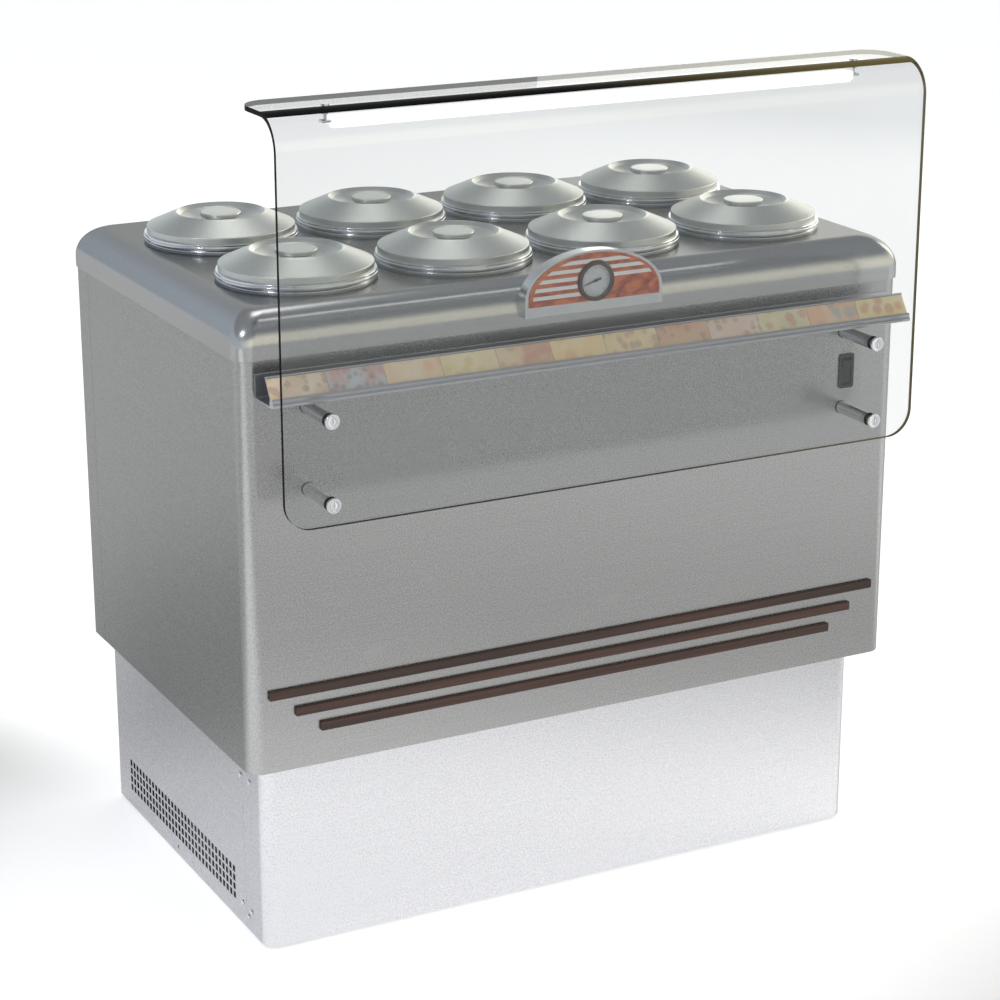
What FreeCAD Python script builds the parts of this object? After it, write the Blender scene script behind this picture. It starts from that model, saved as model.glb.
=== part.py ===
"""Ice cream well counter: eight lidded wells in two rows, a bent glass guard with a lamp, a label rail and
a thermometer badge in front, and the cold machine in a set-back base.

Millimetres. +X is to the right seen from the front, +Y runs back, +Z is up. The origin is on the floor, at the
middle of the whole machine's length and depth.
"""
import FreeCAD, Part
import math
import os
import re

import Sketcher
from FreeCAD import Placement, Rotation, Vector

doc = FreeCAD.newDocument("IceCreamWellCounter")
sheet = doc.addObject("Spreadsheet::Sheet", "Dims")

# Driving dimensions: (word, size, what it measures).
DIMENSIONS = (
    ("skin", 1.5, "steel sheet of panels, cover and base"),
    ("panel_half", 542, "half width over the side panels"),
    ("panel_front", -293, "outer face of the front panel"),
    ("panel_back", 378, "outer face of the rear panel"),
    ("panel_bottom", 301.5, "lower edge of the upper cabinet"),
    ("panel_top", 922, "upper edge of the panels, inside the cover"),
    ("front_corner", 24, "outer radius of the front upright corners"),
    ("rear_corner", 19, "outer radius of the rear upright corners"),
    ("rear_seam", 317, "where the wrap ends and the rear panel begins"),
    ("cover_over", 3.5, "overhang of the cover past the panels"),
    ("cover_bottom", 909, "lower edge of the cover"),
    ("worktop", 973, "top of the cover"),
    ("cover_roll", 48, "radius of the cover's rolled edge"),
    ("cover_corner", 27, "radius of the cover's upright corners"),
    ("well_pitch", 250, "spacing of wells along a row"),
    ("front_row", -108.5, "centre line of the front row of wells"),
    ("back_row", 176.5, "centre line of the back row of wells"),
    ("well_bore", 103.5, "inner radius of a well liner"),
    ("liner_wall", 1.5, "thickness of a well liner"),
    ("liner_bottom", 360, "outside of a liner's floor"),
    ("liner_top", 960, "upper end of a liner, under its ring"),
    ("jacket_gap", 0.4, "space between a liner and its cold jacket"),
    ("jacket_wall", 3, "thickness of a cold jacket"),
    ("ring_bore", 101.5, "inner radius of a well ring"),
    ("ring_seat", 13, "height of the ring's lid seat over the worktop"),
    ("ring_lip", 17, "height of the ring's lip over the worktop"),
    ("ring_bead", 116.5, "outer radius of the ring's bead"),
    ("tub_radius", 99, "outer radius of a tub's wall"),
    ("tub_wall", 1.2, "thickness of a tub"),
    ("tub_depth", 250, "height of a tub"),
    ("tub_rim", 106, "outer radius of a tub's rim"),
    ("lid_radius", 111.5, "outer radius of a lid's skirt"),
    ("lid_skirt", 9, "height of a lid's skirt"),
    ("lid_rise", 28, "height from a lid's seat to its rim"),
    ("bowl_radius", 67, "radius of a lid's bowl at its rim"),
    ("bowl_floor", 14.5, "height of the bowl's floor over the seat"),
    ("knob_radius", 30.5, "radius of a lid's knob"),
    ("glass_half", 514, "half width of the glass guard"),
    ("glass_front", -376, "front face of the glass"),
    ("glass_thick", 7, "thickness of the glass"),
    ("glass_bottom", 686, "lower edge of the glass"),
    ("glass_top", 1252, "top of the bent flange"),
    ("glass_reach", 135, "depth of the glass from front face to flange edge"),
    ("glass_bend", 50, "outer radius of the bend"),
    ("glass_corner", 40, "radius of the glass corners"),
    ("stand_half", 443.7, "half spacing of the standoffs"),
    ("stand_upper", 835.6, "height of the upper standoffs"),
    ("stand_lower", 716.8, "height of the lower standoffs"),
    ("barrel_radius", 9.5, "radius of a standoff barrel"),
    ("cap_radius", 11, "radius of a standoff cap"),
    ("washer", 1.5, "thickness of a rubber washer"),
    ("lamp_half", 413, "half length of the lamp"),
    ("lamp_line", -323, "depth of the lamp's centre line"),
    ("lamp_screw", 420, "half spacing of the lamp screws"),
    ("rail_half", 519, "half length of the label rail"),
    ("rail_bottom", 856, "underside of the label rail"),
    ("card_count", 12, "number of flavour cards"),
    ("badge_half", 112, "half width of the badge housing"),
    ("badge_bottom", 923, "underside of the badge housing"),
    ("badge_spring", 948, "height at which the badge's arch begins"),
    ("badge_top", 1011, "top of the badge housing"),
    ("badge_front", -308, "front face of the badge housing"),
    ("veneer_inset", 6, "border of housing left round the wood panel"),
    ("veneer_bottom", 938, "lower edge of the wood panel"),
    ("veneer_thick", 2, "thickness of the wood panel"),
    ("slat_lowest", 950.5, "height of the lowest slat's centre"),
    ("slat_pitch", 11.5, "spacing of the slats"),
    ("slat_height", 5.6, "height of a slat"),
    ("dial_height", 967, "height of the thermometer's centre"),
    ("bezel_radius", 29, "outer radius of the thermometer's bezel"),
    ("dial_radius", 23.5, "radius of the dial"),
    ("strip_height", 14, "height of a trim strip"),
    ("strip_depth", 6, "how far a trim strip stands out"),
    ("strip_upper", 420, "height of the top strip's centre"),
    ("strip_middle", 390, "height of the middle strip's centre"),
    ("strip_lower", 360.6, "height of the low strip's centre"),
    ("strip_upper_half", 512, "half length of the top strip"),
    ("strip_middle_half", 472, "half length of the middle strip"),
    ("strip_lower_half", 434, "half length of the low strip"),
    ("switch_across", 450, "distance of the switch from the middle"),
    ("switch_height", 773.5, "height of the switch's centre"),
    ("pivot_depth", -284, "depth of the rocker's pivot"),
    ("pin_radius", 1.5, "radius of the rocker's pins"),
    ("frame_width", 26, "width of the switch frame's flange"),
    ("frame_height", 53.5, "height of the switch frame's flange"),
    ("tube_width", 21, "width of the switch's body behind the flange"),
    ("tube_height", 47, "height of the switch's body behind the flange"),
    ("mouth_width", 18, "width of the opening round the rocker"),
    ("mouth_height", 43, "height of the opening round the rocker"),
    ("base_half", 508.2, "half width over the base"),
    ("base_front", -252.1, "front face of the base"),
    ("base_seam", -175, "where the base's front panel ends on the sides"),
    ("base_back", 372, "rear face of the base"),
    ("base_bottom", 5, "lower edge of the base panels"),
    ("base_top", 301.2, "upper edge of the base panels"),
    ("base_corner", 20, "outer radius of the base's front corners"),
    ("tray_top", 16, "upper face of the base tray"),
    ("post_across", 500, "distance of the posts' outer faces from the middle"),
    ("post_front", -240, "outer face of the front posts"),
    ("post_back", 364, "outer face of the rear posts"),
    ("post_leg", 30, "width of a post's legs"),
    ("post_wall", 2, "thickness of a post"),
    ("foot_across", 455, "distance of the feet from the middle"),
    ("foot_front", -200, "depth of the front feet"),
    ("foot_back", 320, "depth of the rear feet"),
    ("fan_across", 230, "distance of the fan from the middle"),
    ("fan_height", 141, "height of the fan's axis"),
    ("fan_radius", 98, "radius over the fan blades"),
    ("fan_depth", 237, "depth of the fan's middle"),
    ("hub_radius", 28, "radius of the fan's hub"),
    ("condenser_half", 170, "half width of the condenser"),
    ("condenser_front", 300, "front face of the condenser"),
    ("condenser_back", 345, "rear face of the condenser"),
    ("condenser_rise", 250, "height of the condenser"),
    ("shroud_front", 262, "front face of the fan shroud"),
    ("shroud_wall", 2, "thickness of the fan shroud"),
    ("motor_front", 175, "front face of the fan motor"),
    ("motor_back", 214, "rear face of the fan motor"),
    ("motor_leg_out", 130, "distance of the motor bracket's legs from the fan's axis"),
    ("compressor_across", -290, "distance of the compressor from the middle"),
    ("compressor_depth", 130, "depth of the compressor's axis"),
    ("compressor_plate_low", 34, "underside of the compressor's foot plate"),
    ("compressor_plate_top", 37, "upper face of the compressor's foot plate"),
    ("mount_across", 85, "distance of the rubber mounts from the compressor's axis along the machine"),
    ("mount_deep", 45, "distance of the rubber mounts from the compressor's axis front to back"),
    ("gland_across", 430, "distance of the gland from the middle"),
    ("gland_height", 60, "height of the gland"),
    ("gland_hole", 10.3, "radius of the gland's hole in the grille"),
)
for line, (word, size, meaning) in enumerate(DIMENSIONS, start=1):
    sheet.set(f"A{line}", meaning)
    sheet.set(f"B{line}", str(size))
    sheet.setAlias(f"B{line}", word)
doc.recompute()

WORDS = re.compile(r"\b(" + "|".join(word for word, size, meaning in DIMENSIONS) + r")\b")
ABOUT_Z, ABOUT_X, ABOUT_Y = Vector(0, 0, 1), Vector(1, 0, 0), Vector(0, 1, 0)
TURNS = {"Z": Rotation(), "Y": Rotation(ABOUT_X, -90), "X": Rotation(ABOUT_Y, 90)}
parts = []


def dim(word):
    """A driving dimension's size, for shapes that can't hold a formula."""
    return float(sheet.get(word))


def bind(thing, **formulas):
    """Drives a thing's properties from the sheet."""
    for name, text in formulas.items():
        thing.setExpression(name, WORDS.sub(r"Dims.\1", text))
    return thing


def place(thing, x="0", y="0", z="0", turn=None):
    """Puts a thing's own origin at x, y, z, which are formulas."""
    thing.Placement = Placement(Vector(), turn or Rotation())
    for axis, text in zip("xyz", (x, y, z)):
        thing.setExpression(f"Placement.Base.{axis}", WORDS.sub(r"Dims.\1", text))
    return thing


def block(name, x, y, z):
    """A box between pairs of formulas."""
    box = doc.addObject("Part::Box", name)
    bind(box, Length=f"({x[1]}) - ({x[0]})", Width=f"({y[1]}) - ({y[0]})")
    bind(box, Height=f"({z[1]}) - ({z[0]})")
    return place(box, x[0], y[0], z[0])


def rod(name, radius, length, x, y, z, along="Z"):
    """A round bar that starts at x, y, z and runs along an axis."""
    cylinder = doc.addObject("Part::Cylinder", name)
    bind(cylinder, Radius=radius, Height=length)
    return place(cylinder, x, y, z, TURNS[along])


def group(name, things):
    """Separate solids held together as one thing."""
    compound = doc.addObject("Part::Compound", name)
    compound.Links = list(things)
    return compound


def fuse(name, *things):
    """Things that touch or cross, made one solid."""
    union = doc.addObject("Part::MultiFuse", name)
    union.Shapes = list(things)
    union.Refine = True
    return union


def cut(name, base, *tools):
    """A base with the tools taken out of it."""
    result = doc.addObject("Part::Cut", name)
    result.Base = base
    result.Tool = tools[0] if len(tools) == 1 else group(name + "_tools", tools)
    return result


def common(name, base, tool):
    """What two things share."""
    result = doc.addObject("Part::Common", name)
    result.Base = base
    result.Tool = tool
    return result


def upright(edge):
    """True for a straight edge along Z."""
    return abs(edge.tangentAt(edge.FirstParameter).z) > 0.999


def rounded(name, base, *picks):
    """Rounds a base's edges. A pick is a test on an edge and a radius."""
    doc.recompute()
    fillet = doc.addObject("Part::Fillet", name)
    fillet.Base = base
    edges = enumerate(base.Shape.Edges, start=1)
    fillet.Edges = [(n, r, r) for n, edge in edges for test, r in picks if test(edge)]
    return fillet


def outline_sketch(body, plane_role, outline):
    """A closed outline of straight lines. Its corners are pairs of formulas, none of them negative."""
    sketch = body.newObject("Sketcher::SketchObject", body.Name + "_outline")
    plane = next(f for f in body.Origin.OriginFeatures if f.Role == plane_role)
    sketch.AttachmentSupport = (plane, [""])
    sketch.MapMode = "FlatFace"
    count = len(outline)
    probe = doc.addObject("App::FeaturePython", "probe")
    probe.addProperty("App::PropertyFloatList", "u")
    corners = []
    for corner in outline:
        pair = []
        for text in corner:
            pair.append(float(probe.evalExpression(WORDS.sub(r"Dims.\1", text))))
        corners.append(Vector(pair[0], pair[1], 0))
    doc.removeObject(probe.Name)
    for n in range(count):
        sketch.addGeometry(Part.LineSegment(corners[n], corners[(n + 1) % count]), False)
    for n in range(count):
        sketch.addConstraint(Sketcher.Constraint("Coincident", n, 2, (n + 1) % count, 1))
    for n, (corner, texts) in enumerate(zip(corners, outline)):
        ways = (("DistanceX", corner.x, texts[0], -2), ("DistanceY", corner.y, texts[1], -1))
        for kind, size, text, axis in ways:
            if abs(size) < 1e-9:
                sketch.addConstraint(Sketcher.Constraint("PointOnObject", n, 1, axis))
                continue
            index = sketch.addConstraint(Sketcher.Constraint(kind, -1, 1, n, 1, size))
            label = f"corner{n}{kind[-1]}"
            sketch.renameConstraint(index, label)
            sketch.setExpression("Constraints." + label, WORDS.sub(r"Dims.\1", text))
    return sketch


def turned(name, outline):
    """A body turned about its own upright axis from an outline of (radius, height) pairs."""
    body = doc.addObject("PartDesign::Body", name)
    sketch = outline_sketch(body, "XZ_Plane", outline)
    revolution = body.newObject("PartDesign::Revolution", name + "_turned")
    revolution.Profile = sketch
    revolution.ReferenceAxis = (sketch, ["V_Axis"])
    revolution.Angle = 360
    return body


def bar(name, outline, half_length):
    """A body of one section, (forward, up) pairs, that runs along X to both sides of the middle."""
    body = doc.addObject("PartDesign::Body", name)
    sketch = outline_sketch(body, "YZ_Plane", outline)
    pad = body.newObject("PartDesign::Pad", name + "_pad")
    pad.Profile = sketch
    pad.Midplane = True
    bind(pad, Length=f"2 * ({half_length})")
    return body


def keep(thing, label):
    """Names a finished sub-part, which is then written under that name."""
    thing.Label = label
    parts.append(thing)
    return thing


# Upper cabinet. One sheet wraps the left side, the front and the right side, with welded and polished corners.
panel_height = ("panel_bottom", "panel_top")
wrap_outer = rounded(
    "wrap_outer",
    block("wrap_block", ("-panel_half", "panel_half"), ("panel_front", "rear_seam"), panel_height),
    (lambda e: upright(e) and e.CenterOfMass.y < 0, dim("front_corner")),
)
wrap_inner = rounded(
    "wrap_inner",
    block(
        "wrap_hollow",
        ("-panel_half + skin", "panel_half - skin"),
        ("panel_front + skin", "rear_seam + 1"),
        ("panel_bottom - 1", "panel_top + 1"),
    ),
    (lambda e: upright(e) and e.CenterOfMass.y < 0, dim("front_corner") - dim("skin")),
)
switch_hole = block(
    "switch_hole",
    ("switch_across - 11", "switch_across + 11"),
    ("panel_front - 1", "panel_front + 3"),
    ("switch_height - 24", "switch_height + 24"),
)
wrap_shell = cut("wrap_shell", wrap_outer, wrap_inner)
keep(cut("wrap_cut", wrap_shell, switch_hole), "outer_wrap")

# Rear panel, whose bent sides take in the rear corners and meet the wrap in an upright seam.
rear_outer = rounded(
    "rear_outer",
    block("rear_block", ("-panel_half", "panel_half"), ("rear_seam + 0.3", "panel_back"), panel_height),
    (lambda e: upright(e) and e.CenterOfMass.y > 350, dim("rear_corner")),
)
rear_inner = rounded(
    "rear_inner",
    block(
        "rear_hollow",
        ("-panel_half + skin", "panel_half - skin"),
        ("rear_seam - 1", "panel_back - skin"),
        ("panel_bottom - 1", "panel_top + 1"),
    ),
    (lambda e: upright(e) and e.CenterOfMass.y > 350, dim("rear_corner") - dim("skin")),
)
keep(cut("rear_shell", rear_outer, rear_inner), "rear_panel")

# Cabinet floor: a plate between the panels, with two holes for the pipes.
floor_plate = rounded(
    "floor_rounded",
    block(
        "floor_block",
        ("-panel_half + skin + 0.3", "panel_half - skin - 0.3"),
        ("panel_front + skin + 0.3", "panel_back - skin - 0.3"),
        ("panel_bottom", "panel_bottom + 2"),
    ),
    (upright, dim("front_corner")),
)
pipe_holes = [
    rod("suction_hole", "20", "4", "-290", "260", "panel_bottom - 1"),
    rod("liquid_hole", "20", "4", "0", "250", "panel_bottom - 1"),
]
keep(cut("floor_cut", floor_plate, *pipe_holes), "cabinet_floor")

# The wells stand in two rows of four.
ROWS = ("front_row", "back_row")
COLUMNS = ("-1.5 * well_pitch", "-0.5 * well_pitch", "0.5 * well_pitch", "1.5 * well_pitch")
WELLS = [(x, y) for y in ROWS for x in COLUMNS]
STANDS = [(x, z) for x in ("-stand_half", "stand_half") for z in ("stand_upper", "stand_lower")]

# Foam fills the cabinet round the wells and is hollowed for the cold jackets and the switch.
foam_block = rounded(
    "foam_rounded",
    block(
        "foam_block",
        ("-panel_half + skin + 1", "panel_half - skin - 1"),
        ("panel_front + skin + 1", "panel_back - skin - 1"),
        ("panel_bottom + 2", "panel_top - 1"),
    ),
    (upright, dim("front_corner")),
)
foam_bore = "well_bore + liner_wall + jacket_gap + jacket_wall + 0.6"
foam_bores = [
    rod(f"foam_bore_{n}", foam_bore, "panel_top - liner_bottom + 5", x, y, "liner_bottom - 5")
    for n, (x, y) in enumerate(WELLS, start=1)
]
switch_pocket = block(
    "switch_pocket",
    ("switch_across - 14", "switch_across + 14"),
    ("panel_front", "panel_front + 34"),
    ("switch_height - 30", "switch_height + 30"),
)
keep(cut("foam_cut", foam_block, *foam_bores, switch_pocket), "insulation_foam")

# Well liners: deep steel cups, one under each ring, that hold a hanging tub and a spare below it.
liners = []
for n, (x, y) in enumerate(WELLS, start=1):
    depth = "liner_top - liner_bottom"
    outside = rod(f"liner_outside_{n}", "well_bore + liner_wall", depth, x, y, "liner_bottom")
    inside = rod(f"liner_inside_{n}", "well_bore", depth, x, y, "liner_bottom + liner_wall")
    liners.append(cut(f"liner_{n}", outside, inside))
keep(group("liners", liners), "well_liners")

# Cold jackets: double-walled aluminium sleeves round the liners, in which the refrigerant boils.
jackets = []
for n, (x, y) in enumerate(WELLS, start=1):
    inner = "well_bore + liner_wall + jacket_gap"
    outside = rod(f"jacket_outside_{n}", inner + " + jacket_wall", "460", x, y, "liner_bottom + 60")
    inside = rod(f"jacket_inside_{n}", inner, "462", x, y, "liner_bottom + 59")
    jackets.append(cut(f"jacket_{n}", outside, inside))
keep(group("jackets", jackets), "evaporator_jackets")


def cover_block(name, inset):
    """The cover's outer shape, or its inner one when inset by the sheet's thickness."""
    across = (f"-panel_half - cover_over + {inset}", f"panel_half + cover_over - {inset}")
    deep = (f"panel_front - cover_over + {inset}", f"panel_back + cover_over - {inset}")
    depth_below = "cover_bottom" if inset == "0" else "cover_bottom - 1"
    blank = block(name + "_block", across, deep, (depth_below, f"worktop - {inset}"))
    thickness = 0 if inset == "0" else dim("skin")
    top = dim("worktop") - thickness
    corners = rounded(name + "_corners", blank, (upright, dim("cover_corner") - thickness))
    return rounded(name, corners, (lambda e: e.CenterOfMass.z > top - 0.01, dim("cover_roll") - thickness))


# Worktop cover: a deep-drawn steel lid over the cabinet with rolled edges and eight holes.
cover_outer = cover_block("cover_outer", "0")
cover_shell = cut("cover_shell", cover_outer, cover_block("cover_inner", "skin"))
well_holes = [
    rod(f"well_hole_{n}", "well_bore + liner_wall + 1", "20", x, y, "worktop - 10")
    for n, (x, y) in enumerate(WELLS, start=1)
]
keep(cut("cover_cut", cover_shell, *well_holes), "worktop_cover")

# Well rings: turned collars that line the holes. The lip carries a tub, the seat outside it a lid.
ring_outline = (
    ("ring_bore", "0"),
    ("well_bore + liner_wall", "0"),
    ("well_bore + liner_wall", "13"),
    ("ring_bead - 2", "13"),
    ("ring_bead - 2", "15.2"),
    ("ring_bead - 6", "17.5"),
    ("ring_bead - 6", "18"),
    ("ring_bead - 1", "18"),
    ("ring_bead", "19"),
    ("ring_bead", "21.2"),
    ("ring_bead - 1.6", "22"),
    ("ring_bead - 1", "23"),
    ("ring_bead - 1", "25"),
    ("ring_bead - 2", "13 + ring_seat"),
    ("ring_bore + 5.5", "13 + ring_seat"),
    ("ring_bore + 5.5", "13 + ring_lip"),
    ("ring_bore", "13 + ring_lip"),
)
rings = [
    place(turned(f"ring_{n}", ring_outline), x, y, "liner_top") for n, (x, y) in enumerate(WELLS, start=1)
]
keep(group("rings", rings), "well_rings")

# Tubs: straight-sided steel pails that hang in the wells by a flat rim.
tub_outline = (
    ("0", "0"),
    ("tub_radius - 4", "0"),
    ("tub_radius", "4"),
    ("tub_radius", "tub_depth"),
    ("tub_rim", "tub_depth"),
    ("tub_rim", "tub_depth + tub_wall"),
    ("tub_radius - tub_wall", "tub_depth + tub_wall"),
    ("tub_radius - tub_wall", "4.5"),
    ("tub_radius - 4.5", "tub_wall"),
    ("0", "tub_wall"),
)
for n, (x, y) in enumerate(WELLS, start=1):
    tub = place(turned(f"tub_body_{n}", tub_outline), x, y, "worktop + ring_lip - tub_depth")
    keep(tub, f"tub_{n}")

# Lids: spun covers with a sloping shoulder and a bowl in the middle, and a knob on a neck in the bowl.
lid_outline = (
    ("0", "bowl_floor - 1.5"),
    ("knob_radius + 8", "bowl_floor - 1.5"),
    ("bowl_radius - 7", "lid_rise - 5.5"),
    ("bowl_radius - 1", "lid_rise - 1.8"),
    ("bowl_radius + 1.5", "lid_rise - 2.2"),
    ("lid_radius - 1.5", "lid_skirt - 1"),
    ("lid_radius - 1.5", "0"),
    ("lid_radius", "0"),
    ("lid_radius", "lid_skirt - 0.8"),
    ("lid_radius - 0.8", "lid_skirt + 0.4"),
    ("bowl_radius + 1", "lid_rise - 0.4"),
    ("bowl_radius - 1", "lid_rise"),
    ("bowl_radius - 3", "lid_rise - 1"),
    ("bowl_radius - 8", "lid_rise - 4.5"),
    ("knob_radius + 12", "bowl_floor + 1"),
    ("knob_radius + 8", "bowl_floor"),
    ("0", "bowl_floor"),
)
knob_outline = (
    ("0", "bowl_floor"),
    ("knob_radius - 7", "bowl_floor"),
    ("knob_radius - 7", "lid_rise - 8.5"),
    ("knob_radius - 1.5", "lid_rise - 8"),
    ("knob_radius", "lid_rise - 6.5"),
    ("knob_radius", "lid_rise - 2.5"),
    ("knob_radius - 1.5", "lid_rise - 1"),
    ("0", "lid_rise - 0.5"),
)
for n, (x, y) in enumerate(WELLS, start=1):
    pan = place(turned(f"lid_pan_{n}", lid_outline), x, y, "worktop + ring_seat")
    knob = place(turned(f"lid_knob_{n}", knob_outline), x, y, "worktop + ring_seat")
    keep(group(f"lid_group_{n}", (pan, knob)), f"lid_{n}")

# Glass guard: one sheet, upright in front of the cabinet and bent back over the wells.
glass_rise = "glass_top - glass_bottom"
glass_outline = (
    ("0", "0"),
    ("glass_thick", "0"),
    ("glass_thick", glass_rise + " - glass_thick"),
    ("glass_reach", glass_rise + " - glass_thick"),
    ("glass_reach", glass_rise),
    ("0", glass_rise),
)
glass_bent = place(bar("glass_bar", glass_outline, "glass_half"), "0", "glass_front", "glass_bottom")
glass_inside = dim("glass_front") + dim("glass_thick")
glass_under = dim("glass_top") - dim("glass_thick")
glass_edge = dim("glass_front") + dim("glass_reach")


def lies_at(edge, y=None, z=None):
    """True for an edge whose middle has that depth or height."""
    middle = edge.CenterOfMass
    return (y is None or abs(middle.y - y) < 0.01) and (z is None or abs(middle.z - z) < 0.01)


def short_along(edge, axis, length):
    """True for a straight edge of that length along an axis."""
    along = getattr(edge.tangentAt(edge.FirstParameter), axis)
    return abs(edge.Length - length) < 0.01 and abs(along) > 0.99


wall = dim("glass_thick")
glass_sheet = rounded(
    "glass_sheet",
    glass_bent,
    (lambda e: lies_at(e, dim("glass_front"), dim("glass_top")), dim("glass_bend")),
    (lambda e: lies_at(e, glass_inside, glass_under), dim("glass_bend") - wall),
    (lambda e: short_along(e, "y", wall) and lies_at(e, None, dim("glass_bottom")), dim("glass_corner")),
    (lambda e: short_along(e, "z", wall) and lies_at(e, glass_edge, None), dim("glass_corner")),
)
glass_holes = [
    rod(f"glass_hole_{n}", "7", "glass_thick + 2", x, "glass_front - 1", z, "Y")
    for n, (x, z) in enumerate(STANDS, start=1)
]
lamp_holes = [
    rod(f"lamp_hole_{n}", "3.2", "glass_thick + 2", x, "lamp_line", "glass_top - glass_thick - 1")
    for n, x in enumerate(("-lamp_screw", "lamp_screw"), start=1)
]
keep(cut("glass_cut", glass_sheet, *glass_holes, *lamp_holes), "guard_glass")

# Standoffs: turned barrels on the front panel, and slotted caps whose shanks pass through the glass.
barrels, caps, washers = [], [], []
for n, (x, z) in enumerate(STANDS, start=1):
    barrel_end = "glass_front + glass_thick + washer"
    barrel_length = f"panel_front - washer - ({barrel_end})"
    barrel = rod(f"barrel_round_{n}", "barrel_radius", barrel_length, x, barrel_end, z, "Y")
    thread = rod(f"barrel_thread_{n}", "6", "25", x, barrel_end + " - 1", z, "Y")
    barrels.append(cut(f"barrel_{n}", barrel, thread))
    head = rod(f"cap_head_{n}", "cap_radius", "4", x, "glass_front - washer - 4", z, "Y")
    shank = rod(f"cap_shank_{n}", "5.8", "24", x, "glass_front - washer - 1", z, "Y")
    slot = block(
        f"cap_slot_{n}",
        (f"{x} - 0.8", f"{x} + 0.8"),
        ("glass_front - washer - 5", "glass_front - washer - 2.8"),
        (f"{z} - 5", f"{z} + 5"),
    )
    caps.append(cut(f"cap_{n}", fuse(f"cap_solid_{n}", head, shank), slot))
    spots = (
        ("front", "glass_front - washer"),
        ("back", "glass_front + glass_thick"),
        ("base", "panel_front - washer"),
    )
    for spot, y in spots:
        disc = rod(f"washer_{spot}_disc_{n}", "barrel_radius + 0.6", "washer", x, y, z, "Y")
        hole = rod(f"washer_{spot}_hole_{n}", "6.1", "washer + 2", x, y + " - 1", z, "Y")
        washers.append(cut(f"washer_{spot}_{n}", disc, hole))
keep(group("barrels", barrels), "standoff_barrels")
keep(group("caps", caps), "standoff_caps")
keep(group("washers", washers), "glass_washers")

# Lamp under the glass flange: an aluminium channel, its opal diffuser, and a screw with a tab at each end.
lamp_top = "glass_top - glass_thick - 7"
lamp_body = block("lamp_body", ("-lamp_half", "lamp_half"), ("lamp_line - 11", "lamp_line + 11"),
                  (lamp_top + " - 12", lamp_top))
lamp_groove = block("lamp_groove", ("-lamp_half + 2", "lamp_half - 2"), ("lamp_line - 9", "lamp_line + 9"),
                    (lamp_top + " - 13", lamp_top + " - 6"))
keep(cut("lamp_channel", lamp_body, lamp_groove), "lamp_housing")
diffuser = block("diffuser_block", ("-lamp_half + 2.3", "lamp_half - 2.3"),
                 ("lamp_line - 8.7", "lamp_line + 8.7"), (lamp_top + " - 16", lamp_top + " - 6.3"))
keep(
    rounded("diffuser", diffuser, (lambda e: e.Length > 700 and e.CenterOfMass.z < 1225, 3.5)),
    "lamp_diffuser",
)
lamp_screws = []
for n, side in enumerate((-1, 1), start=1):
    x = f"{side} * lamp_screw"
    head = rod(f"lamp_head_{n}", "6", "3", x, "lamp_line", "glass_top")
    shank = rod(f"lamp_shank_{n}", "2.5", "glass_thick + 16", x, "lamp_line", "glass_top - glass_thick - 15.5")
    nut = rod(f"lamp_nut_{n}", "5.5", "4", x, "lamp_line", "glass_top - glass_thick - 4")
    ends = ("lamp_half + 0.2", "lamp_half + 14") if side > 0 else ("-lamp_half - 14", "-lamp_half - 0.2")
    tab = block(f"lamp_tab_{n}", ends, ("lamp_line - 6", "lamp_line + 6"),
                (lamp_top + " - 8", lamp_top + " - 5"))
    lamp_screws.append(fuse(f"lamp_screw_{n}", head, shank, nut, tab))
keep(group("lamp_fixings", lamp_screws), "lamp_screws")

# Label rail: one extrusion screwed to the front panel, with a sloping face between two lips.
FORWARD = Rotation(ABOUT_Z, 180)
rail_outline = (
    ("0", "0"), ("57", "0"), ("62.5", "1"), ("64", "4.5"), ("60.8", "7.5"), ("61.8", "10.5"), ("58.6", "13.6"),
    ("57.4", "11.8"), ("55.5", "10.5"), ("38", "37"), ("39.8", "38.2"), ("38.8", "40"), ("35.3", "39"),
    ("52", "12.5"), ("50", "2"), ("2", "2"), ("2", "34"), ("0", "34"),
)
rail_bar = bar("rail_bar", rail_outline, "rail_half")
keep(place(rail_bar, "0", "panel_front", "rail_bottom", FORWARD), "label_rail")

# Flavour cards: thin plates side by side on the rail's sloping face.
face_low, face_high = (55.5, 10.5), (38, 37)
slope = math.degrees(math.atan2(face_low[0] - face_high[0], face_high[1] - face_low[1]))
cards = []
for n in range(int(dim("card_count"))):
    card = doc.addObject("Part::Box", f"card_{n + 1}")
    bind(card, Length="2 * rail_half / card_count - 0.6", Width="0.8", Height="30.6")
    tilt = Rotation(ABOUT_X, -slope)
    along = tilt.multVec(Vector(0, -0.9, 0.5))
    x = f"-rail_half + {n} * 2 * rail_half / card_count + 0.3"
    y = f"panel_front - {face_low[0]} + {along.y:.3f}"
    place(card, x, y, f"rail_bottom + {face_low[1]} + {along.z:.3f}", tilt)
    cards.append(card)
keep(group("cards", cards), "flavour_cards")


def arch(name, half, bottom, spring, top, front, back):
    """A plate with upright sides and a half-ellipse over them, between two depths."""
    middle = Vector(0, front, spring)
    across, tall = half, top - spring
    if across > tall:
        ellipse = Part.Ellipse(middle + Vector(across, 0, 0), middle + Vector(0, 0, tall), middle)
    else:
        ellipse = Part.Ellipse(middle + Vector(0, 0, tall), middle + Vector(across, 0, 0), middle)
    left, right = Vector(-half, front, spring), Vector(half, front, spring)
    below = Part.makeBox(3 * half, 2, 3 * tall, Vector(-1.5 * half, front - 1, spring - 3 * tall))
    over = ellipse.toShape().cut(below)
    low_left, low_right = Vector(-half, front, bottom), Vector(half, front, bottom)
    sides = [Part.makeLine(left, low_left), Part.makeLine(low_left, low_right), Part.makeLine(low_right, right)]
    wire = Part.Wire(Part.__sortEdges__(over.Edges + sides))
    plate = doc.addObject("Part::Feature", name)
    plate.Shape = Part.Face(wire).extrude(Vector(0, back - front, 0))
    return plate


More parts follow.
